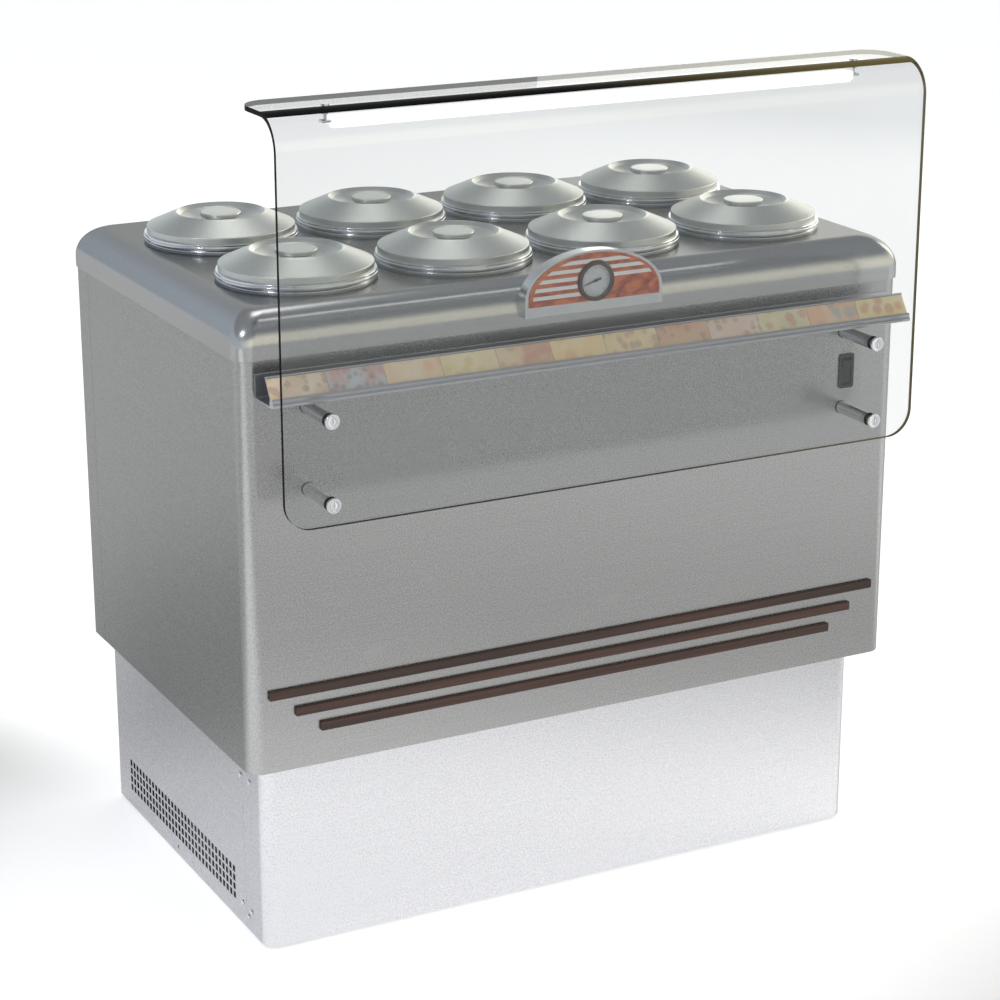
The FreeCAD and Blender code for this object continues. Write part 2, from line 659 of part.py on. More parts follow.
# Badge: a steel housing that stands on the cover's rolled edge, a wood panel on it, and bright slats.
badge_front = dim("badge_front")
veneer_front = badge_front - dim("veneer_thick")
BADGE_DEEP = 20
badge_solid = arch("badge_solid", dim("badge_half"), dim("badge_bottom"), dim("badge_spring"),
                   dim("badge_top"), badge_front, badge_front + BADGE_DEEP)
can_bore = rod("can_bore", "bezel_radius - 2", "30", "0", "badge_front - 5", "dial_height", "Y")
badge_open = cut("badge_open", badge_solid, can_bore)
keep(cut("badge_cut", badge_open, cover_outer), "badge_housing")

inset = dim("veneer_inset")
veneer = arch("veneer", dim("badge_half") - inset, dim("veneer_bottom"), dim("badge_spring"),
              dim("badge_top") - inset / 2, veneer_front, badge_front)
veneer_bore = rod("veneer_bore", "bezel_radius - 2", "10", "0", "badge_front - 6", "dial_height", "Y")
keep(cut("veneer_cut", veneer, veneer_bore), "badge_panel")

slat_field = arch("slat_field", dim("badge_half") - inset - 5, dim("veneer_bottom"), dim("badge_spring"),
                  dim("badge_top") - inset / 2 - 4, veneer_front - 1.5, veneer_front)
SLAT_COUNT, SHORT_SLATS = 5, 2
slats = []
for n in range(SLAT_COUNT):
    height = f"slat_lowest + {n} * slat_pitch"
    right_end = "0" if n < SHORT_SLATS else "badge_half"
    slats.append(
        block(
            f"slat_{n + 1}",
            ("-badge_half", right_end),
            ("badge_front - veneer_thick - 1.5", "badge_front - veneer_thick"),
            (height + " - slat_height / 2", height + " + slat_height / 2"),
        )
    )
slat_bore = rod("slat_bore", "bezel_radius + 1.3", "10", "0", "badge_front - 8", "dial_height", "Y")
slats_trimmed = common("slats_trimmed", group("slats", slats), slat_field)
keep(cut("slats_cut", slats_trimmed, slat_bore), "badge_slats")

# Thermometer: a can with a bezel, a dial, a pointer on an arbor that turns in the can, and a glass.
case_outline = (
    ("0.85", "3"), ("2", "3"), ("2", "0"), ("bezel_radius - 2.3", "0"), ("bezel_radius - 2.3", "14"),
    ("bezel_radius", "14"), ("bezel_radius", "18"), ("bezel_radius - 1.5", "20"), ("dial_radius + 0.4", "20"),
    ("dial_radius + 0.4", "13"), ("0.85", "13"),
)
TOWARD_FRONT = Rotation(ABOUT_X, 90)
CAN_SET_BACK = 12
can_back = f"badge_front + {CAN_SET_BACK}"
keep(place(turned("case_body", case_outline), "0", can_back, "dial_height", TOWARD_FRONT), "thermometer_case")
dial_outline = (("0.85", "13"), ("dial_radius", "13"), ("dial_radius", "13.8"), ("0.85", "13.8"))
keep(place(turned("dial_body", dial_outline), "0", can_back, "dial_height", TOWARD_FRONT), "thermometer_dial")
lens_outline = (("0", "18"), ("dial_radius + 0.2", "18"), ("dial_radius + 0.2", "19.2"), ("0", "19.2"))
keep(place(turned("lens_body", lens_outline), "0", can_back, "dial_height", TOWARD_FRONT), "thermometer_lens")
arbor_outline = (
    ("0", "8"), ("0.8", "8"), ("0.8", "14.6"), ("2.4", "14.6"), ("2.4", "16.4"), ("0", "16.4"),
)
arbor = place(turned("arbor_body", arbor_outline), "0", can_back, "dial_height", TOWARD_FRONT)
POINTER_TURN = -107
pointer = doc.addObject("Part::Wedge", "pointer")
pointer.Xmin, pointer.Xmax, pointer.X2min, pointer.X2max = -1.5, 1.5, -0.35, 0.35
pointer.Zmin, pointer.Zmax, pointer.Z2min, pointer.Z2max = 0, 0.6, 0, 0.6
pointer.Ymin, pointer.Ymax = -9, 21
pointer_turn = Rotation(ABOUT_Y, POINTER_TURN).multiply(TOWARD_FRONT)
place(pointer, "0", can_back + " - 15.2", "dial_height", pointer_turn)
keep(fuse("needle", arbor, pointer), "thermometer_needle")

# Trim strips: three lengths of stained wood across the front, each shorter than the one above.
STRIPS = ("strip_upper", "strip_middle", "strip_lower")
strips = []
for n, height in enumerate(STRIPS, start=1):
    plank = block(
        f"strip_plank_{n}",
        (f"-{height}_half", f"{height}_half"),
        ("panel_front - strip_depth", "panel_front"),
        (height + " - strip_height / 2", height + " + strip_height / 2"),
    )
    front_face = dim("panel_front") - dim("strip_depth")
    strips.append(rounded(f"strip_{n}", plank, (lambda e: lies_at(e, front_face, None), 2.5)))
keep(group("strips", strips), "trim_strips")

# Switch: a snap-in frame, and a rocker on two stub pins.
frame_flange = rounded(
    "frame_flange",
    block(
        "frame_block",
        ("switch_across - frame_width / 2", "switch_across + frame_width / 2"),
        ("panel_front - 2.5", "panel_front"),
        ("switch_height - frame_height / 2", "switch_height + frame_height / 2"),
    ),
    (lambda e: abs(e.tangentAt(0).y) > 0.99, 4),
)
frame_tube = block(
    "frame_tube",
    ("switch_across - tube_width / 2", "switch_across + tube_width / 2"),
    ("panel_front", "panel_front + 25"),
    ("switch_height - tube_height / 2", "switch_height + tube_height / 2"),
)
frame_well = block(
    "frame_well",
    ("switch_across - mouth_width / 2", "switch_across + mouth_width / 2"),
    ("panel_front - 4", "panel_front + 23"),
    ("switch_height - mouth_height / 2", "switch_height + mouth_height / 2"),
)
pin_bore = rod("pin_bore", "pin_radius + 0.06", "30", "switch_across - 15", "pivot_depth", "switch_height", "X")
frame_body = cut("frame_hollow", fuse("frame_solid", frame_flange, frame_tube), frame_well)
keep(cut("frame_cut", frame_body, pin_bore), "switch_bezel")
ROCKER_TILT = 8
rocker_outline = (
    ("0", "11"), ("4", "0"), ("15.5", "0"), ("13.7", "19"), ("15.5", "38"), ("4", "38"), ("0", "27"),
)
rocker_bar = bar("rocker_bar", rocker_outline, "8")
rocker_turn = Rotation(ABOUT_X, ROCKER_TILT).multiply(FORWARD)
rocker_shift = rocker_turn.multVec(Vector(0, -4, -19))
place(rocker_bar, "switch_across", f"pivot_depth + {rocker_shift.y:.4f}",
      f"switch_height + {rocker_shift.z:.4f}", rocker_turn)
rocker_pin = rod("rocker_pin", "pin_radius", "20.8", "switch_across - 10.4", "pivot_depth", "switch_height",
                 "X")
keep(fuse("rocker", rocker_bar, rocker_pin), "switch_rocker")

# Base: a bent front panel, perforated sides and a slotted rear grille round the machine.
base_height = ("base_bottom", "base_top")
base_outer = rounded(
    "base_outer",
    block("base_block", ("-base_half", "base_half"), ("base_front", "base_seam"), base_height),
    (lambda e: upright(e) and e.CenterOfMass.y < dim("base_front") + 1, dim("base_corner")),
)
base_inner = rounded(
    "base_inner",
    block(
        "base_hollow",
        ("-base_half + skin", "base_half - skin"),
        ("base_front + skin", "base_seam + 1"),
        ("base_bottom - 1", "base_top + 1"),
    ),
    (lambda e: upright(e) and e.CenterOfMass.y < dim("base_front") + 2, dim("base_corner") - dim("skin")),
)
keep(cut("base_shell", base_outer, base_inner), "base_front_panel")

VENT_COLUMNS, VENT_ROWS, VENT_PITCH = 32, 4, 14.3
VENT_WIDTH, VENT_HEIGHT = 9, 10.4
FIRST_VENT = Vector(0, -133, 34)
SIDE_SCREW_RADIUS, SIDE_SCREW_DEPTH, SIDE_SCREW_HEIGHT = 3, 108, 19
for side, name in ((-1, "base_left_panel"), (1, "base_right_panel")):
    before = min(side * dim("base_half"), side * (dim("base_half") - dim("skin"))) - 1
    faces = ("-base_half", "-base_half + skin") if side < 0 else ("base_half - skin", "base_half")
    plate = block(name + "_plate", faces, ("base_seam + 0.3", "base_back"), base_height)
    holes = []
    for column in range(VENT_COLUMNS):
        for row in range(VENT_ROWS):
            corner = FIRST_VENT + Vector(before, VENT_PITCH * column, VENT_PITCH * row)
            holes.append(Part.makeBox(4, VENT_WIDTH, VENT_HEIGHT, corner))
    screw_hole = Vector(before, SIDE_SCREW_DEPTH, SIDE_SCREW_HEIGHT)
    holes.append(Part.makeCylinder(SIDE_SCREW_RADIUS, 4, screw_hole, ABOUT_X))
    vents = doc.addObject("Part::Feature", name + "_vents")
    vents.Shape = Part.Compound(holes)
    keep(cut(name + "_cut", plate, vents), name)

grille_plate = block("grille_plate", ("-base_half + skin + 0.3", "base_half - skin - 0.3"),
                     ("base_back - skin", "base_back"), base_height)
SLOT_ROWS, SLOT_LENGTH, SLOT_HEIGHT = 10, 200, 7
SLOT_PITCH, LOWEST_SLOT = 20, 60
SLOT_MIDDLES = (-290, 0, 230)
slots = []
for middle in SLOT_MIDDLES:
    for row in range(SLOT_ROWS):
        low_end = Vector(middle - SLOT_LENGTH / 2, dim("base_back") - 4, LOWEST_SLOT + SLOT_PITCH * row)
        slots.append(Part.makeBox(SLOT_LENGTH, 6, SLOT_HEIGHT, low_end))
slot_tool = doc.addObject("Part::Feature", "slot_tool")
slot_tool.Shape = Part.Compound(slots)
gland_opening = rod("gland_opening", "gland_hole", "6", "gland_across", "base_back - 4", "gland_height", "Y")
keep(cut("grille_cut", grille_plate, slot_tool, gland_opening), "base_rear_grille")

# Base tray on four feet, and the angle posts that carry the cabinet.
FEET = [(x, y) for x in ("-foot_across", "foot_across") for y in ("foot_front", "foot_back")]
tray_plate = rounded(
    "tray_rounded",
    block("tray_block", ("-base_half + 4.2", "base_half - 4.2"), ("base_front + 4.1", "base_back - 4"),
          ("tray_top - 2", "tray_top")),
    (upright, 18),
)
foot_holes = [
    rod(f"foot_hole_{n}", "5.6", "4", x, y, "tray_top - 3") for n, (x, y) in enumerate(FEET, start=1)
]
keep(cut("tray_cut", tray_plate, *foot_holes), "base_tray")

posts = []
for n, (side, front) in enumerate(((-1, True), (1, True), (-1, False), (1, False)), start=1):
    low_x = "-post_across" if side < 0 else "post_across - post_leg"
    low_y = "post_front" if front else "post_back - post_leg"
    post = block(f"post_block_{n}", (low_x, low_x + " + post_leg"), (low_y, low_y + " + post_leg"),
                 ("tray_top", "panel_bottom"))
    cut_x = low_x + (" + post_wall" if side < 0 else " - post_wall")
    cut_y = low_y + (" + post_wall" if front else " - post_wall")
    hollow = block(f"post_hollow_{n}", (cut_x, cut_x + " + post_leg"), (cut_y, cut_y + " + post_leg"),
                   ("tray_top - 1", "panel_bottom + 1"))
    posts.append(cut(f"post_{n}", post, hollow))
keep(group("posts", posts), "base_posts")

foot_outline = (
    ("0", "0"), ("24", "0"), ("25", "1.5"), ("25", "5"), ("21", "8"), ("7", "9.5"), ("5", "9.5"), ("5", "38"),
    ("0", "38"),
)
feet = []
for n, (x, y) in enumerate(FEET, start=1):
    feet.append(place(turned(f"foot_{n}", foot_outline), x, y, "0"))
    nut = doc.addObject("Part::Prism", f"foot_nut_hex_{n}")
    nut.Polygon = 6
    nut.Circumradius = 10
    nut.Height = 8
    place(nut, x, y, "tray_top")
    nut_bore = rod(f"foot_nut_bore_{n}", "5.2", "10", x, y, "tray_top - 1")
    feet.append(cut(f"foot_nut_{n}", nut, nut_bore))
keep(group("feet", feet), "levelling_feet")

# Screws that hold the base's front panel on both sides: domed heads, proud of the sheet. (depth, height).
SCREWS = ((-166, 250), (-200, 251), (-161, 40), (-183, 27), (-195, 39))
HEAD_RADIUS, HEAD_HEIGHT, HEAD_DOME = 4.2, 1.8, 1.2
screws = []
for side in (-1, 1):
    for n, (y, z) in enumerate(SCREWS, start=1):
        start = f"-base_half - {HEAD_HEIGHT}" if side < 0 else "base_half"
        name = f"screw_{'left' if side < 0 else 'right'}_{n}"
        head = rod(name + "_head", str(HEAD_RADIUS), str(HEAD_HEIGHT), start, str(y), str(z), "X")
        outer_face = side * (dim("base_half") + HEAD_HEIGHT)
        outside = lambda e, at=outer_face: abs(e.CenterOfMass.x - at) < 0.01 and e.Closed
        screws.append(rounded(name, head, (outside, HEAD_DOME)))
keep(group("screws", screws), "base_screws")

# Compressor on rubber mounts.
compressor_outline = (
    ("0", "0"), ("70", "0"), ("78", "8"), ("78", "60"), ("80", "62"), ("80", "68"), ("78", "70"), ("78", "140"),
    ("74", "160"), ("62", "178"), ("42", "190"), ("20", "195"), ("0", "196"),
)
shell = place(turned("compressor_shell", compressor_outline), "compressor_across", "compressor_depth",
              "compressor_plate_top")
foot_plate = block(
    "compressor_plate",
    ("compressor_across - mount_across - 15", "compressor_across + mount_across + 15"),
    ("compressor_depth - mount_deep - 15", "compressor_depth + mount_deep + 15"),
    ("compressor_plate_low", "compressor_plate_top"),
)
keep(fuse("compressor_solid", shell, foot_plate), "compressor")
mounts = []
for n, (across, deep) in enumerate(((-1, -1), (-1, 1), (1, -1), (1, 1)), start=1):
    x = f"compressor_across + {across} * mount_across"
    y = f"compressor_depth + {deep} * mount_deep"
    mounts.append(rod(f"compressor_mount_{n}", "10", "compressor_plate_low - tray_top", x, y, "tray_top"))
keep(group("compressor_feet", mounts), "compressor_mounts")

# Condenser with its fan: finned block, shroud, motor on a bracket, and blades that turn on the motor's shaft.
coil_span = ("fan_across - condenser_half", "fan_across + condenser_half")
coil_depth = ("condenser_front", "condenser_back")
coil_height = ("tray_top", "tray_top + condenser_rise")
keep(block("condenser_block", coil_span, coil_depth, coil_height), "condenser_coil")
shroud_box = block("shroud_box", coil_span, ("shroud_front", "condenser_front - 0.5"), coil_height)
shroud_hollow = block(
    "shroud_hollow",
    ("fan_across - condenser_half + shroud_wall", "fan_across + condenser_half - shroud_wall"),
    ("shroud_front + shroud_wall", "condenser_front + 1"),
    ("tray_top + shroud_wall", "tray_top + condenser_rise - shroud_wall"),
)
shroud_mouth = rod("shroud_mouth", "fan_radius + 10", "6", "fan_across", "shroud_front - 2", "fan_height", "Y")
keep(cut("shroud_cut", cut("shroud_shell", shroud_box, shroud_hollow), shroud_mouth), "fan_shroud")
motor_can = rod("motor_can", "36", "motor_back - motor_front", "fan_across", "motor_front", "fan_height", "Y")
motor_shaft = rod("motor_shaft", "4", "36", "fan_across", "motor_back", "fan_height", "Y")
bracket_height = ("fan_height - 10", "fan_height + 10")
motor_bar = block(
    "motor_bar",
    ("fan_across - motor_leg_out", "fan_across + motor_leg_out"),
    ("motor_back - 1", "motor_back + 3"),
    bracket_height,
)
leg_depth = ("motor_back + 1", "shroud_front")
motor_legs = [
    block("motor_leg_left", ("fan_across - motor_leg_out", "fan_across - motor_leg_out + 4"), leg_depth,
          bracket_height),
    block("motor_leg_right", ("fan_across + motor_leg_out - 4", "fan_across + motor_leg_out"), leg_depth,
          bracket_height),
]
keep(fuse("motor", motor_can, motor_shaft, motor_bar, *motor_legs), "fan_motor")
BLADES, BLADE_PITCH = 5, 30
BLADE_LONG, BLADE_THICK, BLADE_ROOT = 44, 2, 26
fan_hub = rod("fan_hub", "hub_radius", "26", "fan_across", "fan_depth - 13", "fan_height", "Y")
blades = []
for n in range(BLADES):
    blade = doc.addObject("Part::Box", f"blade_{n + 1}")
    bind(blade, Length=str(BLADE_LONG), Width=str(BLADE_THICK), Height=f"fan_radius - {BLADE_ROOT}")
    spin = Rotation(ABOUT_Y, n * 360 / BLADES)
    turn = spin.multiply(Rotation(ABOUT_Z, BLADE_PITCH))
    corner = turn.multVec(Vector(-BLADE_LONG / 2, -BLADE_THICK / 2, BLADE_ROOT))
    place(blade, f"fan_across + {corner.x:.4f}", f"fan_depth + {corner.y:.4f}",
          f"fan_height + {corner.z:.4f}", turn)
    blades.append(blade)
fan_bore = rod("fan_bore", "4.06", "40", "fan_across", "fan_depth - 17", "fan_height", "Y")
keep(cut("fan_cut", fuse("fan_solid", fan_hub, *blades), fan_bore), "fan_blades")

# Control box for the thermostat and wiring.
control_block = block("control_block", ("-120", "40"), ("-210", "-70"), ("tray_top", "tray_top + 120"))
keep(rounded("control_box_body", control_block, (upright, 6)), "control_box")


def pipe(name, points, bend, radius):
    """A copper pipe through points, with an arc of that radius at each turn."""
    edges = []
    start = points[0]
    for before, corner, after in zip(points, points[1:], points[2:]):
        back, ahead = (before - corner).normalize(), (after - corner).normalize()
        half_turn = (math.pi - back.getAngle(ahead)) / 2
        run = bend * math.tan(half_turn)
        into, out = corner + back * run, corner + ahead * run
        middle = corner + (back + ahead).normalize() * (bend / math.cos(half_turn) - bend)
        edges += [Part.makeLine(start, into), Part.Arc(into, middle, out).toShape()]
        start = out
    edges.append(Part.makeLine(start, points[-1]))
    ring = Part.Wire(Part.makeCircle(radius, points[0], points[1] - points[0]))
    thing = doc.addObject("Part::Feature", name)
    thing.Shape = Part.Wire(edges).makePipeShell([ring], True, True)
    return thing


# Pipework: discharge to the condenser, suction from the wells, and the liquid line up to them.
BEND, PIPE = 24, 4
discharge_route = (
    Vector(-211, 130, 180), Vector(-150, 130, 180), Vector(-150, 322, 180), Vector(59.5, 322, 180),
)
suction_route = (Vector(-290, 209, 150), Vector(-290, 260, 150), Vector(-290, 260, 303))
liquid_route = (Vector(59.5, 322, 60), Vector(0, 322, 60), Vector(0, 250, 60), Vector(0, 250, 303))
pipes = [
    pipe("discharge", discharge_route, BEND, PIPE),
    pipe("suction", suction_route, BEND, PIPE),
    pipe("liquid", liquid_route, BEND, PIPE),
]
keep(group("pipes", pipes), "pipework")

# Gland in the rear grille, through which the supply lead enters.
gland_outline = (
    ("4", "0"), ("13", "0"), ("13", "5"), ("10", "5"), ("10", "11"), ("14", "11"), ("14", "15"), ("9", "19"),
    ("4", "19"),
)
gland = place(turned("gland_body", gland_outline), "gland_across", "base_back - 10", "gland_height", TURNS["Y"])
keep(gland, "inlet_gland")

doc.recompute()
os.makedirs("parts", exist_ok=True)
for old in os.listdir("parts"):
    os.remove(os.path.join("parts", old))
faults = [thing.Name for thing in doc.Objects if {"Invalid", "Error"} & set(thing.State)]
for thing in parts:
    shape = thing.Shape
    if shape.isNull() or not shape.isValid() or not shape.Solids:
        faults.append(thing.Label)
if faults:
    raise SystemExit("failed: " + ", ".join(faults))
whole = Part.Compound([thing.Shape for thing in parts]).BoundBox
print(f"{len(parts)} nodes, box {whole.XMin:.2f} {whole.XMax:.2f} {whole.YMin:.2f} {whole.YMax:.2f} "
      f"{whole.ZMin:.2f} {whole.ZMax:.2f}")
for thing in parts:
    thing.Shape.exportStep(f"parts/{thing.Label}.step")
    print(f"{thing.Label:22s} {len(thing.Shape.Solids):3d} solids {thing.Shape.Volume / 1000:12.2f} cm3")
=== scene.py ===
import math

import bmesh
import bpy
from mathutils import Matrix, Vector


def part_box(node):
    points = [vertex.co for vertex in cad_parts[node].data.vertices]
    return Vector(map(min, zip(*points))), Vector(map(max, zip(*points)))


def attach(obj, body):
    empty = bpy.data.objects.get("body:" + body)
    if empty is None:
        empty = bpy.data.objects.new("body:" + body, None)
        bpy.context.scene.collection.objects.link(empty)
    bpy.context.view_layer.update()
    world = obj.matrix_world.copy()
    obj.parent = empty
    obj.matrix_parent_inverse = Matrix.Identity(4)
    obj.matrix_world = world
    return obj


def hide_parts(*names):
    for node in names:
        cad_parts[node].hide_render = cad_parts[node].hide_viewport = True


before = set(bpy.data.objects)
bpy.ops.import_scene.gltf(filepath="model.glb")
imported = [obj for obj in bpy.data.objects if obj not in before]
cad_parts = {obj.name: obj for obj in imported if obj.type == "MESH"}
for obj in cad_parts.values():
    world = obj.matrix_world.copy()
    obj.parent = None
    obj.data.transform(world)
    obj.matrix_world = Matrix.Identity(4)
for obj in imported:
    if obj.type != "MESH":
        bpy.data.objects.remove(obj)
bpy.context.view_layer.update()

# Base tray, corner posts and cabinet floor: pressed zinc-coated sheet, left as it comes from the mill. The
# tray stands on the feet, and the angle posts carry the cabinet on it.


class Signal:
    """One output in a finish's nodes. Arithmetic on it adds Math nodes, and node() adds any other kind."""

    def __init__(self, tree, socket=None):
        self.tree = tree
        self.socket = socket

    def node(self, kind, inputs, output=0, stops=(), **settings):
        made = self.tree.nodes.new("ShaderNode" + kind)
        for name, value in settings.items():
            setattr(made, name, value)
        if stops:
            ramp = made.color_ramp.elements
            ramp.remove(ramp[1])
            ramp[0].position, ramp[0].color = stops[0]
            for position, colour in stops[1:]:
                ramp.new(position).color = colour
        for name, value in inputs.items():
            if isinstance(value, Signal):
                self.tree.links.new(value.socket, made.inputs[name])
            else:
                made.inputs[name].default_value = value
        return Signal(self.tree, made.outputs[output])

    def maths(self, operation, *values):
        return self.node("Math", dict(enumerate(values)), operation=operation)

    def __add__(self, other):
        return self.maths("ADD", self, other)

    def __radd__(self, other):
        return self.maths("ADD", other, self)

    def __sub__(self, other):
        return self.maths("SUBTRACT", self, other)

    def __rsub__(self, other):
        return self.maths("SUBTRACT", other, self)

    def __mul__(self, other):
        return self.maths("MULTIPLY", self, other)

    def __rmul__(self, other):
        return self.maths("MULTIPLY", other, self)

    def __pow__(self, other):
        return self.maths("POWER", self, other)

    def __abs__(self):
        return self.maths("ABSOLUTE", self)

    def axis(self, n):
        """One coordinate of a place."""
        return self.node("SeparateXYZ", {0: self}, output=n)

    def stretched(self, x, y, z):
        """A place with each coordinate multiplied."""
        return self.node("VectorMath", {0: self, 1: (x, y, z)}, operation="MULTIPLY")

    def noise(self, scale, detail=2.0):
        return self.node("TexNoise", {"Vector": self, "Scale": scale, "Detail": detail})

    def cells(self, scale, output="Distance"):
        return self.node("TexVoronoi", {"Vector": self, "Scale": scale}, output=output)

    def between(self, low, high):
        """0 below low, 1 above high, and smooth from one to the other."""
        inputs = {0: self, 1: low, 2: high, 3: 0.0, 4: 1.0}
        return self.node("MapRange", inputs, interpolation_type="SMOOTHSTEP")

    def blend(self, low, high):
        """A colour from low to high, by this value."""
        return self.node("Mix", {0: self, 6: low, 7: high}, output=2, data_type="RGBA")

    def bump(self, strength, depth):
        return self.node("Bump", {"Height": self, "Strength": strength, "Distance": depth})


def paint(red, green, blue):
    """A colour from its display values, 0 to 255."""
    parts = (value / 255 for value in (red, green, blue))
    return (*(p / 12.92 if p <= 0.04045 else ((p + 0.055) / 1.055) ** 2.4 for p in parts), 1.0)


def finish(name, **constants):
    """A new material. Gives it, its surface shader, and the place of each point in metres."""
    material = bpy.data.materials.new(name)
    material.use_nodes = True
    shader = material.node_tree.nodes["Principled BSDF"]
    for socket, value in constants.items():
        shader.inputs[socket.replace("_", " ")].default_value = value
    place = Signal(material.node_tree).node("TexCoord", {}, output="Object")
    return material, shader, place


def feed(shader, **signals):
    """Drives a shader's sockets."""
    for socket, signal in signals.items():
        signal.tree.links.new(signal.socket, shader.inputs[socket.replace("_", " ")])


def dress(material, *nodes):
    """Gives CAD nodes a finish."""
    for name in nodes:
        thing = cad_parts[name]
        if not thing.material_slots:
            thing.data.materials.append(material)
        for slot in thing.material_slots:
            slot.material = material


zinc_coat, shader, place = finish("zinc_coat", Metallic=1.0)
spangle = place.cells(70, "Color")
haze = place.noise(7, 3)
feed(
    shader,
    Base_Color=(0.75 * spangle + 0.25 * haze).blend(paint(150, 153, 156), paint(198, 201, 204)),
    Roughness=0.3 + 0.15 * spangle + 0.15 * haze,
    Normal=spangle.bump(0.15, 0.0004),
)
dress(zinc_coat, "base_tray", "base_posts", "cabinet_floor")

# Levelling feet: moulded nylon pads, each on a threaded stem that passes through the tray and is locked by
# a nut.
foot_nylon, shader, place = finish("foot_nylon", Specular_IOR_Level=0.4)
pebble = place.noise(420, 3)
scuff = place.noise(60, 5).between(0.55, 0.75)
feed(
    shader,
    Base_Color=scuff.blend(paint(26, 26, 28), paint(64, 63, 62)),
    Roughness=0.45 + 0.2 * pebble + 0.15 * scuff,
    Normal=pebble.bump(0.3, 0.0003),
)
dress(foot_nylon, "levelling_feet")

# Base sheets: satin stainless steel, bent round the front corners in one piece, with perforated sides and a
# slotted rear. They are screwed to the tray's flange.
MM = 0.001


def rounded(corners, closed=True, steps=10):
    """An outline whose corners, (across, up, radius), are rounded by arcs."""
    points = []
    count = len(corners)
    for n, (across, up, radius) in enumerate(corners):
        here = Vector((across, up))
        if radius == 0 or (not closed and n in (0, count - 1)):
            points.append(here)
            continue
        back = (Vector(corners[n - 1][:2]) - here).normalized()
        ahead = (Vector(corners[(n + 1) % count][:2]) - here).normalized()
        half_turn = back.angle(ahead) / 2
        middle = here + (back + ahead).normalized() * radius / math.sin(half_turn)
        start = here + back * radius / math.tan(half_turn) - middle
        end = here + ahead * radius / math.tan(half_turn) - middle
        sweep = math.pi - 2 * half_turn
        for k in range(steps + 1):
            share = k / steps
            spoke = start * math.sin((1 - share) * sweep) + end * math.sin(share * sweep)
            points.append(middle + spoke / math.sin(sweep))
    return points


def prism(shape, outline, start, end, along="z"):
    """Adds a solid of one outline, in mm, that runs from start to end along an axis."""
    layers = []
    for w in (start, end):
        spots = [{"x": (w, u, v), "y": (u, w, v), "z": (u, v, w)}[along] for u, v in outline]
        layers.append([shape.verts.new(Vector(spot) * MM) for spot in spots])
    low, high = layers
    for n in range(len(low)):
        shape.faces.new((low[n - 1], low[n], high[n], high[n - 1]))
    shape.faces.new(low)
    shape.faces.new(high)


CREASE = math.radians(35)


def piece(name, shape, finishes, eased=0.0):
    """An object of a shape. Its edges over CREASE are eased by a radius in mm, or else kept sharp."""
    bmesh.ops.recalc_face_normals(shape, faces=shape.faces)
    for edge in shape.edges:
        flat = len(edge.link_faces) == 2 and edge.calc_face_angle() < CREASE
        edge.smooth = flat or eased > 0
    for face in shape.faces:
        face.smooth = True
    mesh = bpy.data.meshes.new(name)
    shape.to_mesh(mesh)
    shape.free()
    made = bpy.data.objects.new(name, mesh)
    bpy.context.scene.collection.objects.link(made)
    for material in finishes:
        mesh.materials.append(material)
    if eased:
        bevel = made.modifiers.new("eased_edges", "BEVEL")
        bevel.width = eased * MM
        bevel.segments = 3
        bevel.limit_method = "ANGLE"
        bevel.angle_limit = CREASE
    even = made.modifiers.new("even_faces", "WEIGHTED_NORMAL")
    even.keep_sharp = True
    return made


def hand_over(made, body, slot, *nodes):
    """Parents a piece to its body's empty and hides the CAD nodes that it stands for. The slot is not used.
    """
    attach(made, body)
    if nodes:
        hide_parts(*nodes)


def pierced(made, cutter):
    """Takes a cutter's shape out of a piece."""
    step = made.modifiers.new("opening", "BOOLEAN")
    step.object = cutter
    step.operation = "DIFFERENCE"
    step.solver = "EXACT"
    bpy.context.view_layer.update()
    graph = bpy.context.evaluated_depsgraph_get()
    keep = [m for m in made.modifiers if m != step]
    for m in keep:
        m.show_viewport = False
    bpy.context.view_layer.update()
    solid = bpy.data.meshes.new_from_object(made.evaluated_get(graph))
    made.modifiers.remove(step)
    for m in keep:
        m.show_viewport = True
    made.data = solid
    bpy.data.objects.remove(cutter)


def span(node):
    """A CAD node's lowest and highest corners, in mm."""
    low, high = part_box(node)
    return low / MM, high / MM


def satin_steel(name, tone, gloss, lines, grit=420, relief=0.12):
    """Stainless sheet with a satin face: fine speckle, faint rolling lines and cloudy handling marks."""
    material, shader, place = finish(name, Metallic=1.0, Specular_Tint=(0.42, 0.42, 0.42, 1.0))
    speckle = place.noise(grit, 3)
    line = place.stretched(*lines).noise(1.0, 2)
    cloud = place.noise(2.6, 3)
    smear = place.stretched(1.0, 1.0, 2.2).noise(13, 5).between(0.58, 0.8)
    grain = 0.85 * speckle + 0.15 * line
    dark = tuple(0.86 * t for t in tone[:3]) + (1.0,)
    light = tuple(min(1.0, 1.12 * t) for t in tone[:3]) + (1.0,)
    feed(
        shader,
        Base_Color=grain.between(0.3, 0.7).blend(dark, light),
        Roughness=gloss + 0.08 * cloud + 0.06 * speckle + 0.05 * smear,
        Normal=grain.bump(relief, 0.0004),
    )
    return material


def bent_sheet(name, node, corner, thick, finishes):
    """A sheet that covers the left side, the front and the right side of a CAD node's box."""
    low, high = span(node)
    outer = [(low.x, high.y, 0), (low.x, low.y, corner), (high.x, low.y, corner), (high.x, high.y, 0)]
    inner = [
        (high.x - thick, high.y, 0),
        (high.x - thick, low.y + thick, corner - thick),
        (low.x + thick, low.y + thick, corner - thick),
        (low.x + thick, high.y, 0),
    ]
    shape = bmesh.new()
    prism(shape, rounded(outer, False, 16) + rounded(inner, False, 16), low.z, high.z)
    return piece(name, shape, finishes, eased=0.35)


